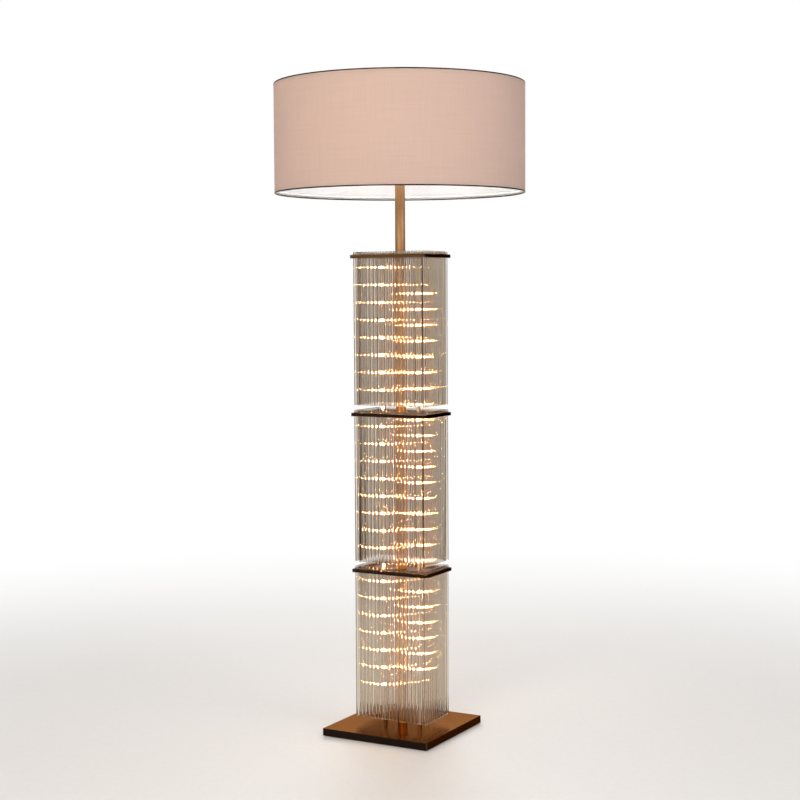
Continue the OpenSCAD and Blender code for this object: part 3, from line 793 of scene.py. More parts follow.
class Pattern:
    """Geometry Nodes trees that repeat a piece or run a wire, each made once."""

    @staticmethod
    def start(name: str, sockets: dict[str, str]) -> Tree:
        """Begins a tree with named inputs.

        Args:
            name: The tree's name.
            sockets: Type of each input, by its name.

        Returns:
            The tree.
        """
        tree = bpy.data.node_groups.new(name, "GeometryNodeTree")
        for socket, kind in {"Geometry": "Geometry", **sockets, "Finish": "Material"}.items():
            tree.interface.new_socket(socket, in_out="INPUT", socket_type="NodeSocket" + kind)
        tree.interface.new_socket("Geometry", in_out="OUTPUT", socket_type="NodeSocketGeometry")
        return tree

    @staticmethod
    def end(tree: Tree, shape: Socket, finish: Socket) -> Tree:
        """Ends a tree in Realize Instances and Set Material.

        Args:
            tree: The tree.
            shape: The geometry so far.
            finish: The material's input.

        Returns:
            The tree.
        """
        real = add(tree, "GeometryNodeRealizeInstances", {0: shape})
        dressed = add(tree, "GeometryNodeSetMaterial", {"Geometry": real.outputs[0], "Material": finish})
        add(tree, "NodeGroupOutput", {"Geometry": dressed.outputs[0]})
        return tree

    @classmethod
    @cache
    def copies(cls) -> Tree:
        """Builds the tree that repeats a piece: each copy steps on, turns on, and may lean a little.

        Returns:
            The tree.
        """
        tree = cls.start("Copies", {
            "Count": "Int", "First": "Vector", "Step": "Vector", "Turn": "Float", "Lean": "Float", "Seed": "Int",
        })
        given = add(tree, "NodeGroupInput").outputs
        row = add(
            tree, "GeometryNodeMeshLine",
            {"Count": given["Count"], "Start Location": given["First"], "Offset": given["Step"]}, mode="OFFSET",
        )
        number = add(tree, "GeometryNodeInputIndex")
        turned = add(tree, "ShaderNodeMath", {0: number.outputs[0], 1: given["Turn"]}, operation="MULTIPLY")
        most = add(tree, "ShaderNodeCombineXYZ", {0: given["Lean"], 1: given["Lean"]})
        least = add(tree, "ShaderNodeVectorMath", {0: most.outputs[0], "Scale": -1.0}, operation="SCALE")
        lean = add(
            tree, "FunctionNodeRandomValue",
            {0: least.outputs[0], 1: most.outputs[0], "Seed": given["Seed"]}, data_type="FLOAT_VECTOR",
        )
        level = add(tree, "ShaderNodeCombineXYZ", {2: turned.outputs[0]})
        both = add(tree, "ShaderNodeVectorMath", {0: lean.outputs[0], 1: level.outputs[0]}, operation="ADD")
        turn = add(tree, "FunctionNodeEulerToRotation", {0: both.outputs[0]})
        placed = add(
            tree, "GeometryNodeInstanceOnPoints",
            {"Points": row.outputs[0], "Instance": given["Geometry"], "Rotation": turn.outputs[0]},
        )
        return cls.end(tree, placed.outputs[0], given["Finish"])

    @classmethod
    @cache
    def wire(cls) -> Tree:
        """Builds the tree that runs a round wire along bare edges, with its bends rounded.

        Returns:
            The tree.
        """
        tree = cls.start("Wire", {"Bend": "Float", "Radius": "Float", "Sides": "Int"})
        given = add(tree, "NodeGroupInput").outputs
        path = add(tree, "GeometryNodeMeshToCurve", {0: given["Geometry"]})
        bent = add(
            tree, "GeometryNodeFilletCurve",
            {"Curve": path.outputs[0], "Count": 6, "Radius": given["Bend"], "Limit Radius": True}, mode="POLY",
        )
        section = add(
            tree, "GeometryNodeCurvePrimitiveCircle", {"Resolution": given["Sides"], "Radius": given["Radius"]}
        )
        swept = add(
            tree, "GeometryNodeCurveToMesh",
            {"Curve": bent.outputs[0], "Profile Curve": section.outputs[0], "Fill Caps": True},
        )
        return cls.end(tree, swept.outputs[0], given["Finish"])

    @classmethod
    @cache
    def thread(cls) -> Tree:
        """Builds the tree that winds a screw thread's ridge round a piece.

        Returns:
            The tree.
        """
        tree = cls.start(
            "Thread", {"Centre": "Vector", "Radius": "Float", "Height": "Float", "Turns": "Float", "Ridge": "Float"}
        )
        given = add(tree, "NodeGroupInput").outputs
        path = add(
            tree, "GeometryNodeCurveSpiral",
            {"Resolution": 40, "Rotations": given["Turns"], "Start Radius": given["Radius"],
             "End Radius": given["Radius"], "Height": given["Height"]},
        )
        section = add(tree, "GeometryNodeCurvePrimitiveCircle", {"Resolution": 8, "Radius": given["Ridge"]})
        swept = add(
            tree, "GeometryNodeCurveToMesh",
            {"Curve": path.outputs[0], "Profile Curve": section.outputs[0], "Fill Caps": True},
        )
        placed = add(tree, "GeometryNodeTransform", {"Geometry": swept.outputs[0], "Translation": given["Centre"]})
        joined = add(tree, "GeometryNodeJoinGeometry", {0: placed.outputs[0]})
        fill(tree, joined, {0: given["Geometry"]})
        return cls.end(tree, joined.outputs[0], given["Finish"])


def run(tree: Tree, made: Piece, finish: Finish, **inputs: Any) -> Piece:
    """Runs a Geometry Nodes tree on a piece and keeps its result as the piece's plain mesh.

    Args:
        tree: The tree.
        made: The piece, whose mesh the tree starts from.
        finish: The finish that the tree sets.
        inputs: The tree's inputs by name.

    Returns:
        The piece.
    """
    step = made.modifiers.new(tree.name, "NODES")
    step.node_group = tree
    values = {**inputs, "Finish": finish.material()}
    for socket in tree.interface.items_tree:
        if socket.in_out == "INPUT" and socket.name in values:
            value = values[socket.name]
            step[socket.identifier] = list(value) if isinstance(value, (tuple, list, Vector)) else value
    bpy.context.view_layer.update()
    shown = made.evaluated_get(bpy.context.evaluated_depsgraph_get())
    result = bpy.data.meshes.new_from_object(shown)
    made.modifiers.remove(step)
    spare, made.data = made.data, result
    result.name = made.name
    bpy.data.meshes.remove(spare)
    return made


# ---- Sub-assemblies ----


@dataclass
class Base:
    """The square base: bronze plate, felt, cover, screws and cord gland."""

    felt_edge: float = 0.4
    screw_r: float = 2.0
    screw_l: float = 9.0
    recess_l: float = 4.8
    recess_w: float = 0.7
    recess_d: float = 0.25
    gland_bore_r: float = 3.6
    gland_barrel_r: float = 6.0
    gland_flange_t: float = 2.0
    gland_ribs: int = 24

    def build(self) -> None:
        """Makes and dresses every piece of the base."""
        keep(BRONZE, "base_plate")
        keep(ZINC, "base_cover", "base_washer", "base_nut", "tie_rod", "tube_plugs")
        keep(POLYCARBONATE, "led_driver", "terminal_block")
        keep(VINYL, "lamp_cable", "led_leads")
        self.felt()
        self.screws()
        self.gland()

    def felt(self) -> None:
        """Makes the felt sheet, its cut edges slightly rounded."""
        low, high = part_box("base_felt")
        shape = Shape().slab([c / MM for c in low], [c / MM for c in high], self.felt_edge, 3)
        made = shape.piece("felt_sheet", WOOL_FELT)
        settle(made, "lamp", WOOL_FELT, "base_felt")

    def screws(self) -> None:
        """Makes the four countersunk screws of the cover, each with a cross recess."""
        low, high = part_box("cover_screws")
        r, tip, head = self.screw_r, self.screw_l, 2 * self.screw_r
        profile = [(0, 0), (head - 0.2, 0), (head, 0.15), (r, r), (r, tip - 1), (r - 0.7, tip), (0, tip)]
        shape = Shape().lathe(profile, 16)
        for x, y in ((self.recess_l, self.recess_w), (self.recess_w, self.recess_l)):
            shape.slab([-x / 2, -y / 2, -0.02], [x / 2, y / 2, self.recess_d], 0.1, 1)
        made = shape.piece("cover_screws_cross_head", ZINC)
        edge = head * MM
        first = (low.x + edge, low.y + edge, low.z)
        run(Pattern.copies(), made, ZINC, Count=2, First=first, Step=(high.x - low.x - 2 * edge, 0, 0))
        run(Pattern.copies(), made, ZINC, Count=2, First=(0, 0, 0), Step=(0, high.y - low.y - 2 * edge, 0))
        settle(made, "lamp", ZINC, "cover_screws")

    def gland(self) -> None:
        """Makes the cord gland: a ribbed flange and a bored barrel, turned to lie along Y."""
        low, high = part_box("cord_gland")
        flange, length = (high.x - low.x) / 2 / MM, (high.y - low.y) / MM
        bore, barrel, thick = self.gland_bore_r, self.gland_barrel_r, self.gland_flange_t
        profile = [
            (bore + 0.5, 0), (flange - 1.1, 0), (flange - 0.4, 0.6), (flange - 0.4, thick), (barrel, thick),
            (barrel, length - 0.5), (barrel - 0.5, length), (bore, length), (bore, 0.5),
        ]
        body = Shape().lathe(profile, 48, ring=True).piece("cord_gland_body", NYLON)
        rib = Shape().slab([flange - 0.8, -0.3, 0.6], [flange, 0.3, thick - 0.1], 0.15, 1)
        ribs = rib.piece("cord_gland_ribs", NYLON)
        run(Pattern.copies(), ribs, NYLON, Count=self.gland_ribs, Turn=math.tau / self.gland_ribs)
        axis = Matrix.Translation((0, high.y, (low.z + high.z) / 2)) @ Matrix.Rotation(math.pi / 2, 4, "X")
        for made in (body, ribs):
            made.data.transform(axis)
        settle(body, "lamp", NYLON, "cord_gland")
        settle(ribs, "lamp", NYLON)


class Side(Enum):
    """A side of the column, by the name that its nodes have."""

    FRONT = "front"
    BACK = "back"
    LEFT = "left"
    RIGHT = "right"


class Tier(Enum):
    """A tier of the column: its nodes' name for it, the node that it stands on, and the plate that it hangs from."""

    LOWER = ("lower", "base_plate", "plate_lower")
    MIDDLE = ("middle", "plate_lower", "plate_middle")
    UPPER = ("upper", "plate_middle", "plate_top")

    def __init__(self, label: str, deck: str, plate: str) -> None:
        """Gives each of a tier's three names a name of its own."""
        self.label, self.deck, self.plate = label, deck, plate


@dataclass
class Column:
    """The column: plates, brass tubes, and the glass rods with their rings.

    Each rod's head stands above its plate, its axis is inset from the plate's edge, and it leans by lean radians
    at most.
    """

    rod_r: float = 4.0
    rod_end: float = 1.2
    head: float = 8.0
    inset: float = 9.0
    long_gaps: int = 19
    short_gaps: int = 12
    ring_w: float = 1.0
    ring_t: float = 2.5
    lean: float = 0.0016

    def build(self) -> None:
        """Makes and dresses the column's pieces, tier by tier."""
        keep(BRONZE_POLISHED, "plate_lower", "plate_middle")
        # The top plate takes the copy with painted light on its edges
        keep(BRONZE_PAINTED_LIT_EDGES, "plate_top")
        keep(BRASS_POLISHED, "column_tube_lower", "column_tube_middle", "column_tube_upper")
        keep(BRASS_TUBE, "stem_tube")
        for number, tier in enumerate(Tier):
            low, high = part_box(tier.plate)
            self.rings(tier, low, high)
            for side in Side:
                self.rods(tier, side, low, high, seed=4 * number + len(side.value))

    def row(self, side: Side, low: Vector, high: Vector) -> tuple[int, Vector, Vector]:
        """Works out where one side's rods hang.

        Args:
            side: The side of the column.
            low: Lowest corner of the plate that they hang from.
            high: Its highest corner.

        Returns:
            The number of rods, the first one's place on the plate, and the step to the next.
        """
        inset = self.inset * MM
        x0, x1, y0, y1 = low.x + inset, high.x - inset, low.y + inset, high.y - inset
        if side in (Side.FRONT, Side.BACK):
            y = y0 if side is Side.FRONT else y1
            return self.long_gaps + 1, Vector((x0, y, high.z)), Vector(((x1 - x0) / self.long_gaps, 0, 0))
        step = (y1 - y0) / self.short_gaps
        x = x0 if side is Side.LEFT else x1
        return self.short_gaps - 1, Vector((x, y0 + step, high.z)), Vector((0, step, 0))

    def rods(self, tier: Tier, side: Side, low: Vector, high: Vector, seed: int) -> None:
        """Makes one row of glass rods, each hung from its plate with a slight lean of its own.

        Args:
            tier: The tier of the column.
            side: The side of it.
            low: Lowest corner of the plate that the rods hang from.
            high: Its highest corner.
            seed: Fixes the leans.
        """
        node = f"rods_{side.value}_{tier.label}"
        bottom = (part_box(node)[0].z - high.z) / MM
        top, r, end = self.head, self.rod_r, self.rod_end
        profile = [
            (0, bottom), (r - 1, bottom + 0.2), (r, bottom + end), (r, top - end), (r - 1, top - 0.2), (0, top),
        ]
        made = Shape().lathe(profile, 16).piece(f"glass_{node}", GLASS)
        count, first, step = self.row(side, low, high)
        run(Pattern.copies(), made, GLASS, Count=count, First=first, Step=step, Lean=self.lean, Seed=seed)
        settle(made, "lamp", GLASS, node)

    def rings(self, tier: Tier, low: Vector, high: Vector) -> None:
        """Makes the silicone rings on one plate, one round each rod.

        Args:
            tier: The tier that hangs from it.
            low: Lowest corner of the plate.
            high: Its highest corner.
        """
        r, w, t = self.rod_r, self.ring_w, self.ring_t
        profile = [(r, 0.2), (r + w - 0.4, 0), (r + w, 0.6), (r + w, t - 0.6), (r + w - 0.4, t), (r, t - 0.2)]
        parts = []
        for side in Side:
            part = Shape().lathe(profile, 14, ring=True).piece("rod_rings", SILICONE)
            count, first, step = self.row(side, low, high)
            parts.append(run(Pattern.copies(), part, SILICONE, Count=count, First=first, Step=step))
        settle(merge(parts, f"silicone_rings_{tier.label}"), "lamp", SILICONE, f"rod_rings_{tier.label}")


@dataclass
class LedStick:
    """One stick of light-emitting diodes: brass square, strip on two faces, housings and lit phosphor.

    Rows holds, for each tier, the first diode's height above what the tier stands on, and the number of diodes.
    """

    side: Side
    stick_x: float
    pitch: float
    rows: tuple[tuple[float, int], ...]
    stick_w: float = 8.0
    strip_w: float = 6.4
    strip_t: float = 0.25
    led_w: float = 5.0
    led_t: float = 1.2

    def build(self) -> None:
        """Makes and dresses the stick's pieces."""
        side = self.side.value
        keep(BRASS_TUBE, f"led_stick_{side}")
        strips, housings, lenses = [], [], []
        for tier, (start, count) in zip(Tier, self.rows):
            deck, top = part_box(tier.deck)[1].z / MM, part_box(tier.plate)[0].z / MM
            for face in (-1, 1):
                strips.append(self.strip(face, deck, top))
                place = Vector((self.stick_x, face * self.stick_w / 2, deck + start)) * MM
                housings.append(self.copies("housing", self.housing(face), RESIST, place, count))
                lenses.append(self.copies("lens", self.lens(face), PHOSPHOR, place, count))
        settle(merge(strips, f"led_strip_{side}"), "lamp", RESIST)
        settle(merge(housings, f"led_housings_{side}"), "lamp", RESIST)
        settle(merge(lenses, f"led_lenses_{side}"), "lamp", PHOSPHOR, f"leds_{side}")

    def copies(self, name: str, shape: Shape, finish: Finish, place: Vector, count: int) -> Piece:
        """Repeats a part of a diode up one tier of the stick.

        Args:
            name: The part's name.
            shape: The part, round the origin.
            finish: Its finish.
            place: Where the lowest one sits.
            count: How many there are.

        Returns:
            The row of parts.
        """
        made = shape.piece(name, finish)
        return run(Pattern.copies(), made, finish, Count=count, First=place, Step=(0, 0, self.pitch * MM))

    def strip(self, face: int, low: float, high: float) -> Piece:
        """Makes the printed strip on one face of the stick in one tier.

        Args:
            face: -1 for the front of the stick, 1 for its back.
            low: Height of what the tier stands on.
            high: Height of the plate above it.

        Returns:
            The strip.
        """
        x, y = self.stick_x, face * self.stick_w / 2
        inner, outer = sorted((y, y + face * self.strip_t))
        shape = Shape().slab([x - self.strip_w / 2, inner, low + 2], [x + self.strip_w / 2, outer, high - 2], 0.08, 1)
        return shape.piece("strip", RESIST)

    def housing(self, face: int) -> Shape:
        """Makes a diode's square housing, on the stick's face at Y = 0.

        Args:
            face: -1 for the front of the stick, 1 for its back.

        Returns:
            The housing.
        """
        half = self.led_w / 2
        inner, outer = sorted((0, face * 0.4 * self.led_t))
        return Shape().slab([-half, inner, -half], [half, outer, half], 0.2, 1)

    def lens(self, face: int) -> Shape:
        """Makes a diode's square pillow of phosphor resin, on its housing.

        Args:
            face: -1 for the front of the stick, 1 for its back.

        Returns:
            The pillow.
        """
        half = self.led_w / 2 - 0.1
        inner, outer = sorted((face * 0.3 * self.led_t, face * self.led_t))
        return Shape().slab([-half, inner, -half], [half, outer, half], 0.3, 3)


@dataclass
class LampCluster:
    """The three lampholders and their bulbs, on their carrier plate.

    A globe is a ball down to neck_angle, in degrees from its middle, and draws in from there to its neck.
    """

    holder_r: float = 19.0
    holder_h: float = 46.0
    bore_r: float = 14.25
    bore_d: float = 28.0
    screw_hole_r: float = 2.15
    screw_hole_d: float = 8.15
    ribs: int = 36
    cap_r: float = 13.2
    thread_pitch: float = 3.6
    thread_t: float = 0.38
    nub_r: float = 4.5
    nub_t: float = 1.5
    neck_r: float = 14.2
    neck_angle: float = -38.0
    names: str = "abc"

    def build(self) -> None:
        """Makes and dresses the cluster's pieces."""
        keep(BRONZE, "lamp_carrier")
        keep(BRASS_TURNED, "holder_shells", "holder_contacts")
        keep(ZINC, "holder_screws")
        self.holders()
        for name in self.names:
            self.bulb(name)

    def holders(self) -> None:
        """Makes the lampholders: a ribbed skirt, a waist, and a rim round the bore."""
        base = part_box("lampholders")[0].z
        r, h, bore, floor = self.holder_r, self.holder_h, self.bore_r, self.holder_h - self.bore_d
        hole, deep = self.screw_hole_r, self.screw_hole_d
        profile = [
            (0, floor), (bore, floor), (bore, h - 0.6), (bore + 0.6, h),  # Bore
            (r - 1.6, h), (r - 0.6, h - 0.8), (r - 0.6, h - 4), (r, h - 4.5), (r, h - 7), (r - 1, h - 7.6),  # Rim
            (r - 1, 20), (r - 0.4, 18.5), (r - 0.4, 2), (r - 1.2, 0),  # Waist and foot
            (hole, 0), (hole, deep), (0, deep),  # Hole for the holder's screw
        ]
        bodies, ribs = [], []
        for name in self.names:
            place = (*self.centre(name), base)
            bodies.append(Shape().lathe(profile, 64, place).piece("holder", PHENOLIC))
            rib = Shape().slab([r - 1.4, -0.45, h - 25], [r - 0.25, 0.45, h - 8], 0.25, 1).piece("rib", PHENOLIC)
            turn = math.tau / self.ribs
            ribs.append(run(Pattern.copies(), rib, PHENOLIC, Count=self.ribs, First=place, Turn=turn))
        settle(merge(bodies, "lampholder_bodies"), "lamp", PHENOLIC, "lampholders")
        settle(merge(ribs, "lampholder_ribs"), "lamp", PHENOLIC)

    def centre(self, name: str) -> tuple[float, float]:
        """Returns where a bulb's axis stands, in metres."""
        low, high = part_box(f"bulb_cap_{name}")
        return (low.x + high.x) / 2, (low.y + high.y) / 2

    def bulb(self, name: str) -> None:
        """Makes one bulb: a nickel screw cap with its thread, and an opal globe.

        Args:
            name: The bulb's letter.
        """
        x, y = self.centre(name)
        low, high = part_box(f"bulb_cap_{name}")
        tall, r, nub, tip = (high.z - low.z) / MM, self.cap_r - 0.35, self.nub_r, self.nub_t
        profile = [
            (0, 0), (nub - 1, 0), (nub, 0.5), (nub + 0.4, tip), (r - 2, tip + 0.6), (r, tip + 3),
            (r, tall - 1.2), (r + 0.3, tall - 0.6), (r + 0.3, tall), (0, tall),
        ]
        cap = Shape().lathe(profile, 48, (x, y, low.z)).piece(f"bulb_cap_{name}_threaded", NICKEL)
        climb = tall - tip - 8
        run(
            Pattern.thread(), cap, NICKEL, Centre=(x, y, low.z + (tip + 4) * MM), Radius=(r - 0.05) * MM,
            Height=climb * MM, Turns=climb / self.thread_pitch, Ridge=self.thread_t * MM,
        )
        settle(cap, f"bulb_{name}", NICKEL, f"bulb_cap_{name}")
        self.globe(name, x, y)

    def globe(self, name: str, x: float, y: float) -> None:
        """Makes one bulb's globe, which draws in smoothly to its neck.

        Args:
            name: The bulb's letter.
            x: Where its axis stands, in metres.
            y: Where its axis stands, in metres.
        """
        low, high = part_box(f"bulb_globe_{name}")
        tall = (high.z - low.z) / MM
        ball = (high.y - low.y) / 2 / MM - 0.05
        neck, middle, join = self.neck_r, tall - ball - 0.05, math.radians(self.neck_angle)
        foot, wide = middle + ball * math.sin(join), ball * math.cos(join)
        profile = [(0, 0), (neck - 1.5, 0), (neck - 0.3, 0.5)]
        for step in range(10):
            u = step / 10
            ease = u * u * (2.2 - 1.2 * u)
            profile.append((neck + (wide - neck) * ease, 1.2 + (foot - 1.2) * u))
        profile += dome(ball, middle, join)
        made = Shape().lathe(profile, 64, (x, y, low.z)).piece(f"bulb_{name}_opal_globe", OPAL, sharp=50)
        settle(made, f"bulb_{name}", OPAL, f"bulb_globe_{name}")


@dataclass
class Finial:
    """The turned brass nut on top of the shade, with a knurled foot."""

    foot_h: float = 4.0
    stud_r: float = 4.08
    bore_d: float = 12.3
    knurls: int = 40

    def build(self) -> None:
        """Makes the finial and dresses the riser under it."""
        keep(BRASS_TURNED, "riser")
        low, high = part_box("finial")
        wide, tall = (high.y - low.y) / 2 / MM, (high.z - low.z) / MM
        knob, stud, foot, side = wide - 0.5, self.stud_r, self.foot_h, wide - 0.35
        profile = [
            (0, self.bore_d), (stud, self.bore_d), (stud, 0.4), (stud + 0.4, 0),  # Bore for the stud
            (wide - 0.9, 0), (side, 0.5), (side, foot - 0.5), (wide - 0.9, foot),  # Knurled foot
            (6.6, foot + 0.2), (6.0, foot + 1.0),  # Groove under the knob
            *dome(knob, tall - knob, math.radians(-44)),
        ]
        made = Shape().lathe(profile, 64, (0, 0, low.z)).piece("finial_turned", BRASS_TURNED)
        settle(made, "finial", BRASS_TURNED, "finial")
        ridge = Shape().slab([wide - 0.7, -0.25, 0.6], [wide, 0.25, foot - 0.6], 0.15, 1)
        knurl = ridge.piece("finial_knurl", BRASS_TURNED)
        turn = math.tau / self.knurls
        run(Pattern.copies(), knurl, BRASS_TURNED, Count=self.knurls, First=(0, 0, low.z), Turn=turn)
        settle(knurl, "finial", BRASS_TURNED)


@dataclass
class Shade:
    """The drum shade: cloth on a stiff lining, dark edging, two wire rings and the spider.

    The cloth's ends lap at lap_angle, in degrees round from the X axis, and the lap stops short of both edges.
    """

    cloth_t: float = 0.9
    lining_t: float = 0.5
    lap_w: float = 12.0
    lap_t: float = 0.3
    lap_angle: float = 118.0
    lap_inset: float = 4.0
    edging_h: float = 3.0
    edging_t: float = 0.5
    wire_r: float = 2.5
    bend_r: float = 9.0
    arms: int = 4
    sides: int = 192
    rows: int = 14
    wire_steps: int = 144

    def build(self) -> None:
        """Makes and dresses the shade's pieces."""
        keep(ENAMEL, "spider_hub")
        self.cloth()
        self.lining()
        self.edging()
        self.rings()
        self.spider()

    def drum(self, outer: float, thick: float, low: float, high: float) -> Shape:
        """Makes a thin upright drum wall, with a row of points every 20 mm or so up its side.

        Args:
            outer: Its outer radius.
            thick: Its thickness.
            low: Height of its lower edge.
            high: Height of its upper edge.

        Returns:
            The wall.
        """
        side = [(outer, low + (high - low) * k / self.rows) for k in range(self.rows + 1)]
        back = [(outer - thick, z) for _, z in reversed(side)]
        return Shape().lathe([*side, *back], self.sides, ring=True)

    def cloth(self) -> None:
        """Makes the cloth and its lapped seam, at the back."""
        low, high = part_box("shade_fabric")
        outer = high.y / MM
        made = self.drum(outer, self.cloth_t, low.z / MM, high.z / MM).piece("shade_cloth", CLOTH, sharp=60)
        settle(made, "shade", CLOTH, "shade_fabric")
        lap = self.lap(outer, low.z / MM, high.z / MM)
        settle(lap, "shade", CLOTH)

    def lap(self, outer: float, low: float, high: float) -> Piece:
        """Makes the seam's lap, a narrow second thickness of cloth.

        Args:
            outer: The cloth's outer radius.
            low: Height of its lower edge.
            high: Height of its upper edge.

        Returns:
            The lap.
        """
        shape = Shape()
        half = math.degrees(self.lap_w / 2 / outer)
        bottom, top, inner = low + self.lap_inset, high - self.lap_inset, outer - 0.3
        steps = 6
        rows = []
        for k in range(steps + 1):
            angle = math.radians(self.lap_angle - half + 2 * half * k / steps)
            proud = outer + (self.lap_t if 0 < k < steps else 0.02)
            corners = ((proud, bottom), (proud, top), (inner, top), (inner, bottom))
            rows.append([
                shape.mesh.verts.new((r * math.cos(angle) * MM, r * math.sin(angle) * MM, z * MM)) for r, z in corners
            ])
        for a, b in zip(rows, rows[1:]):
            for i in range(4):
                made = shape.mesh.faces.new((a[i], a[(i + 1) % 4], b[(i + 1) % 4], b[i]))
                for loop in made.loops:
                    spot = loop.vert.co
                    loop[shape.flat].uv = (math.atan2(spot.y, spot.x) * outer * MM, spot.z)
        shape.mesh.faces.new(rows[0])
        shape.mesh.faces.new(rows[-1])
        return shape.piece("shade_seam_lap", CLOTH)

    def lining(self) -> None:
        """Makes the styrene lining behind the cloth."""
        low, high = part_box("shade_lining")
        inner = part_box("shade_rings")[1].x / MM + 0.15
        made = self.drum(inner + self.lining_t, self.lining_t, low.z / MM, high.z / MM)
        settle(made.piece("shade_lining_sheet", STYRENE, sharp=60), "shade", STYRENE, "shade_lining")

    def edging(self) -> None:
        """Makes the dark edging, folded over both rims."""
        low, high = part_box("shade_trims")
        wide, t, h = high.y / MM, self.edging_t, self.edging_h
        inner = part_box("shade_rings")[1].x / MM + 0.1
        section = [
            (wide - 0.35, 0), (wide, 0.35), (wide, h - 0.2), (wide - 0.2, h), (wide - t, h),  # Fold outside the cloth
            (wide - t, t), (inner, t),  # Under the rim
            (inner, h), (inner - 0.3, h), (inner - t, h - 0.3), (inner - t, 0.35), (inner - t + 0.35, 0),  # Inside
        ]
        shape = Shape().lathe([(r, low.z / MM + z) for r, z in section], self.sides, ring=True)
        shape.lathe([(r, high.z / MM - z) for r, z in section], self.sides, ring=True)
        settle(shape.piece("shade_edging", EDGING, sharp=50), "shade", EDGING, "shade_trims")

    def rings(self) -> None:
        """Makes the two wire rings."""
        low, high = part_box("shade_rings")
        r = high.x / MM - self.wire_r
        angles = [math.tau * k / self.wire_steps for k in range(self.wire_steps)]
        shape = Shape()
        for z in (low.z / MM + self.wire_r, high.z / MM - self.wire_r):
            shape.lines([(r * math.cos(a), r * math.sin(a), z) for a in angles], loop=True)
        made = shape.piece("shade_wire_rings", ENAMEL)
        run(Pattern.wire(), made, ENAMEL, Bend=0.0, Radius=self.wire_r * MM, Sides=10)
        settle(made, "shade", ENAMEL, "shade_rings")

    def spider(self) -> None:
        """Makes the spider's arms, each one wire bent up to the upper ring."""
        arms, (low, high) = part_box("spider_arms")[1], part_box("spider_hub")
        reach, middle = arms.x / MM - self.wire_r, (low.z + high.z) / 2 / MM
        path = [(high.x / MM - 1, 0, 0), (reach, 0, 0), (reach, 0, arms.z / MM - middle)]
        made = Shape().lines(path).piece("spider_arms_bent", ENAMEL)
        run(Pattern.wire(), made, ENAMEL, Bend=self.bend_r * MM, Radius=self.wire_r * MM, Sides=12)
        place, turn = (0, 0, middle * MM), math.tau / self.arms
        run(Pattern.copies(), made, ENAMEL, Count=self.arms, First=place, Turn=turn)
        settle(made, "shade", ENAMEL, "spider_arms")


# ---- Studio ----


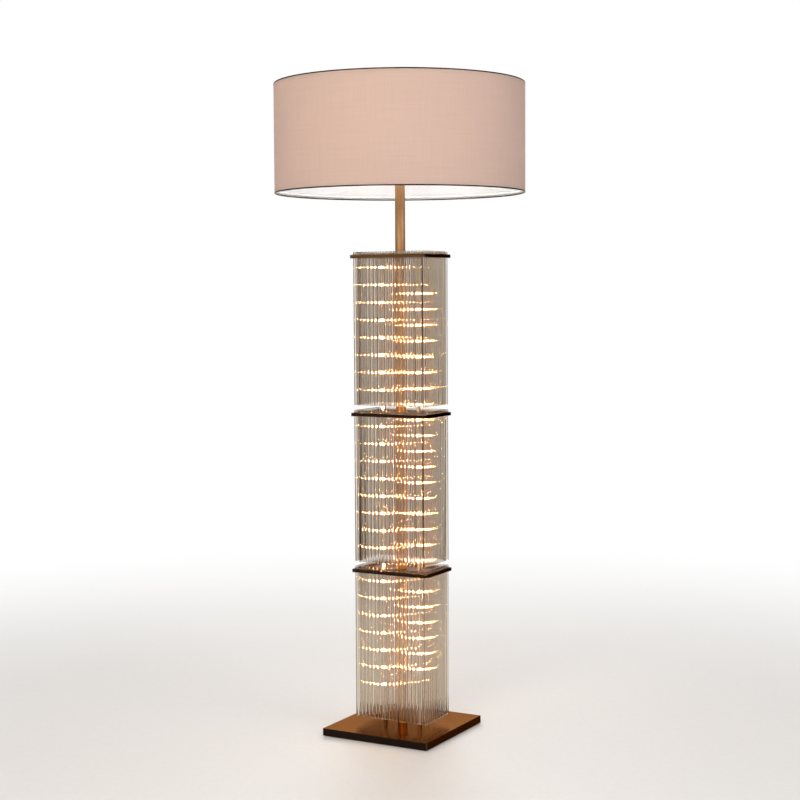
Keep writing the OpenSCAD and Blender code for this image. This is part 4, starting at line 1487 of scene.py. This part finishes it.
@dataclass
class Studio:
    """The camera, the plain pale floor, the background and the soft lamps.

    Clear glass on white is seen by what stands beside it, so dark screens ring the room. Only metal and glass
    show them. Sizes here are metres, angles are degrees, and the lens and the sensor are millimetres.
    """

    distance: float = 4.216
    aside: float = -0.0028
    height: float = 1.1551
    heading: float = 29.108
    pitch: float = 3.795
    roll: float = -0.315
    lens: float = 72.696
    sensor: float = 36.0
    reach: float = 60.0
    floor_r: float = 14.0
    fade: tuple[float, float] = (0.7, 3.2)
    air: float = 0.5
    air_tint: str = "#f7f7fa"
    background: str = "#ffffff"
    floor: str = "#e4e1dc"
    floor_speck: str = "#eae7e2"
    aim: float = 0.9
    screens: int = 3
    screen: str = "#432b1b"

    def build(self) -> None:
        """Sets up the whole studio.

        The clamp is off, because it would dim each diode's image in the rods to less than a tenth.
        """
        bpy.context.scene.view_settings.view_transform = "Standard"
        bpy.context.scene.cycles.sample_clamp_indirect = 0.0
        self.camera()
        self.ground()
        self.world()
        self.lamp("key", (0.6, -4.6, 3.0), size=2.6, power=130, tint="#fff8f0")
        self.lamp("fill", (4.2, -0.6, 2.4), size=2.4, power=45, tint="#f6f8ff")
        self.lamp("back", (-2.0, 3.8, 3.0), size=2.6, power=80, tint="#ffffff")

    def camera(self) -> None:
        """Places the camera where the photograph was taken from."""
        turn, tilt, roll = (math.radians(a) for a in (self.heading, self.pitch, self.roll))
        back = Vector((math.sin(turn), -math.cos(turn), 0))
        side = Vector((math.cos(turn), math.sin(turn), 0))
        up = Vector((0, 0, 1)) * math.cos(tilt) - back * math.sin(tilt)
        away = back * math.cos(tilt) + Vector((0, 0, 1)) * math.sin(tilt)
        right = side * math.cos(roll) + up * math.sin(roll)
        top = up * math.cos(roll) - side * math.sin(roll)
        data = bpy.data.cameras.new("camera")
        data.lens, data.sensor_width, data.clip_end = self.lens, self.sensor, self.reach
        made = show("camera", data)
        turned = Matrix((right, top, away)).transposed().to_4x4()
        place = back * self.distance + side * self.aside + Vector((0, 0, self.height))
        made.matrix_world = Matrix.Translation(place) @ turned
        bpy.context.scene.camera = made

    def ground(self) -> None:
        """Lays the floor, which fades into the background away from the lamp."""
        made = bpy.data.materials.new("Floor, pale matt paint")
        made.use_nodes = True
        tree = made.node_tree
        surface = tree.nodes["Principled BSDF"]
        place = add(tree, "ShaderNodeTexCoord")
        speck = add(tree, "ShaderNodeTexNoise", {"Vector": place.outputs["Object"], "Scale": 60.0, "Detail": 3.0})
        tone = add(
            tree, "ShaderNodeMix",
            {0: speck.outputs["Fac"], 6: colour(self.floor), 7: colour(self.floor_speck)}, data_type="RGBA",
        )
        fill(tree, surface, {"Base Color": tone.outputs[2], "Roughness": 0.6})
        away = add(tree, "ShaderNodeVectorMath", {0: place.outputs["Object"]}, operation="LENGTH")
        fade = add(
            tree, "ShaderNodeMapRange",
            {"Value": away.outputs["Value"], "From Min": self.fade[0], "From Max": self.fade[1]},
            interpolation_type="SMOOTHSTEP",
        )
        ray = add(tree, "ShaderNodeLightPath")
        share = add(tree, "ShaderNodeMath", {0: fade.outputs[0], 1: self.seen(tree, ray)}, operation="MULTIPLY")
        plain = add(tree, "ShaderNodeEmission", {"Color": self.shown(tree, place.outputs["Object"], ray)})
        both = add(tree, "ShaderNodeMixShader", {0: share.outputs[0], 1: surface.outputs[0], 2: plain.outputs[0]})
        under = add(tree, "ShaderNodeNewGeometry")
        clear = add(tree, "ShaderNodeBsdfTransparent")
        whole = add(
            tree, "ShaderNodeMixShader", {0: under.outputs["Backfacing"], 1: both.outputs[0], 2: clear.outputs[0]}
        )
        fill(tree, tree.nodes["Material Output"], {"Surface": whole.outputs[0]})
        disc = bmesh.new()
        bmesh.ops.create_circle(disc, cap_ends=True, segments=96, radius=self.floor_r)
        solid("floor", disc, made)

    def seen(self, tree: Tree, ray: Node) -> Socket:
        """Tells the rays that show the background: the camera's, and those off metal and through glass.

        Args:
            tree: The floor's or the world's node tree.
            ray: The tree's Light Path node.

        Returns:
            1 for those rays, and 0 for the rest.
        """
        shine = add(
            tree, "ShaderNodeMath", {0: ray.outputs["Is Glossy Ray"], 1: ray.outputs["Is Transmission Ray"]},
            operation="MAXIMUM",
        )
        seen = add(
            tree, "ShaderNodeMath", {0: ray.outputs["Is Camera Ray"], 1: shine.outputs[0]}, operation="MAXIMUM"
        )
        return seen.outputs[0]

    def shown(self, tree: Tree, way: Socket, ray: Node) -> Socket:
        """Makes the background's colour: white to the camera, with upright dark screens to metal and glass.

        Args:
            tree: The floor's or the world's node tree.
            way: Where a ray ends, or the way that it leaves.
            ray: The tree's Light Path node.

        Returns:
            The colour.
        """
        parts = add(tree, "ShaderNodeSeparateXYZ", {0: way})
        turn = add(tree, "ShaderNodeMath", {0: parts.outputs[1], 1: parts.outputs[0]}, operation="ARCTAN2")
        start = math.radians(self.heading + 90)
        off = add(tree, "ShaderNodeMath", {0: turn.outputs[0], 1: start}, operation="SUBTRACT")
        count = add(tree, "ShaderNodeMath", {0: off.outputs[0], 1: float(self.screens)}, operation="MULTIPLY")
        wave = add(tree, "ShaderNodeMath", {0: count.outputs[0]}, operation="COSINE")
        bare = add(
            tree, "ShaderNodeMapRange", {"Value": wave.outputs[0], "From Min": 0.1, "From Max": 0.6},
            interpolation_type="SMOOTHSTEP",
        )
        plain = add(
            tree, "ShaderNodeMath", {0: bare.outputs[0], 1: ray.outputs["Is Camera Ray"]}, operation="MAXIMUM"
        )
        tone = add(
            tree, "ShaderNodeMix", {0: plain.outputs[0], 6: colour(self.screen), 7: colour(self.background)},
            data_type="RGBA",
        )
        return tone.outputs[2]

    def world(self) -> None:
        """Sets the even light from all round and the background behind it."""
        world = bpy.data.worlds.new("studio")
        bpy.context.scene.world = world
        world.use_nodes = True
        tree = world.node_tree
        light = tree.nodes["Background"]
        fill(tree, light, {"Color": colour(self.air_tint), "Strength": self.air})
        ray = add(tree, "ShaderNodeLightPath")
        way = add(tree, "ShaderNodeTexCoord")
        plain = add(tree, "ShaderNodeBackground", {"Color": self.shown(tree, way.outputs["Object"], ray)})
        both = add(tree, "ShaderNodeMixShader", {0: self.seen(tree, ray), 1: light.outputs[0], 2: plain.outputs[0]})
        fill(tree, tree.nodes["World Output"], {"Surface": both.outputs[0]})

    def lamp(self, name: str, place: tuple[float, float, float], size: float, power: float, tint: str) -> None:
        """Hangs one large soft lamp, aimed at the middle of the column.

        Args:
            name: Its name.
            place: Where it hangs, in metres.
            size: Its side, in metres.
            power: Its power, in watts.
            tint: Its colour.
        """
        data = bpy.data.lights.new(name, "AREA")
        data.shape, data.size, data.energy = "SQUARE", size, power
        data.color = colour(tint)[:3]
        made = show(name, data)
        made.location = place
        made.rotation_euler = (Vector((0, 0, self.aim)) - Vector(place)).to_track_quat("-Z", "Y").to_euler()


def main() -> None:
    """Builds the studio and the lamp, from the base up."""
    logging.basicConfig(level=logging.INFO, format="%(name)s: %(message)s")
    Studio().build()
    Base().build()
    Column().build()
    keep(BRASS_TUBE, "stick_feet")
    LedStick(Side.LEFT, stick_x=-52.0, pitch=46.0, rows=((96, 7), (4, 9), (11, 9))).build()
    LedStick(Side.RIGHT, stick_x=52.0, pitch=41.0, rows=((148, 7), (24, 10), (23, 8))).build()
    LampCluster().build()
    Finial().build()
    Shade().build()


if __name__ == "__main__":
    main()
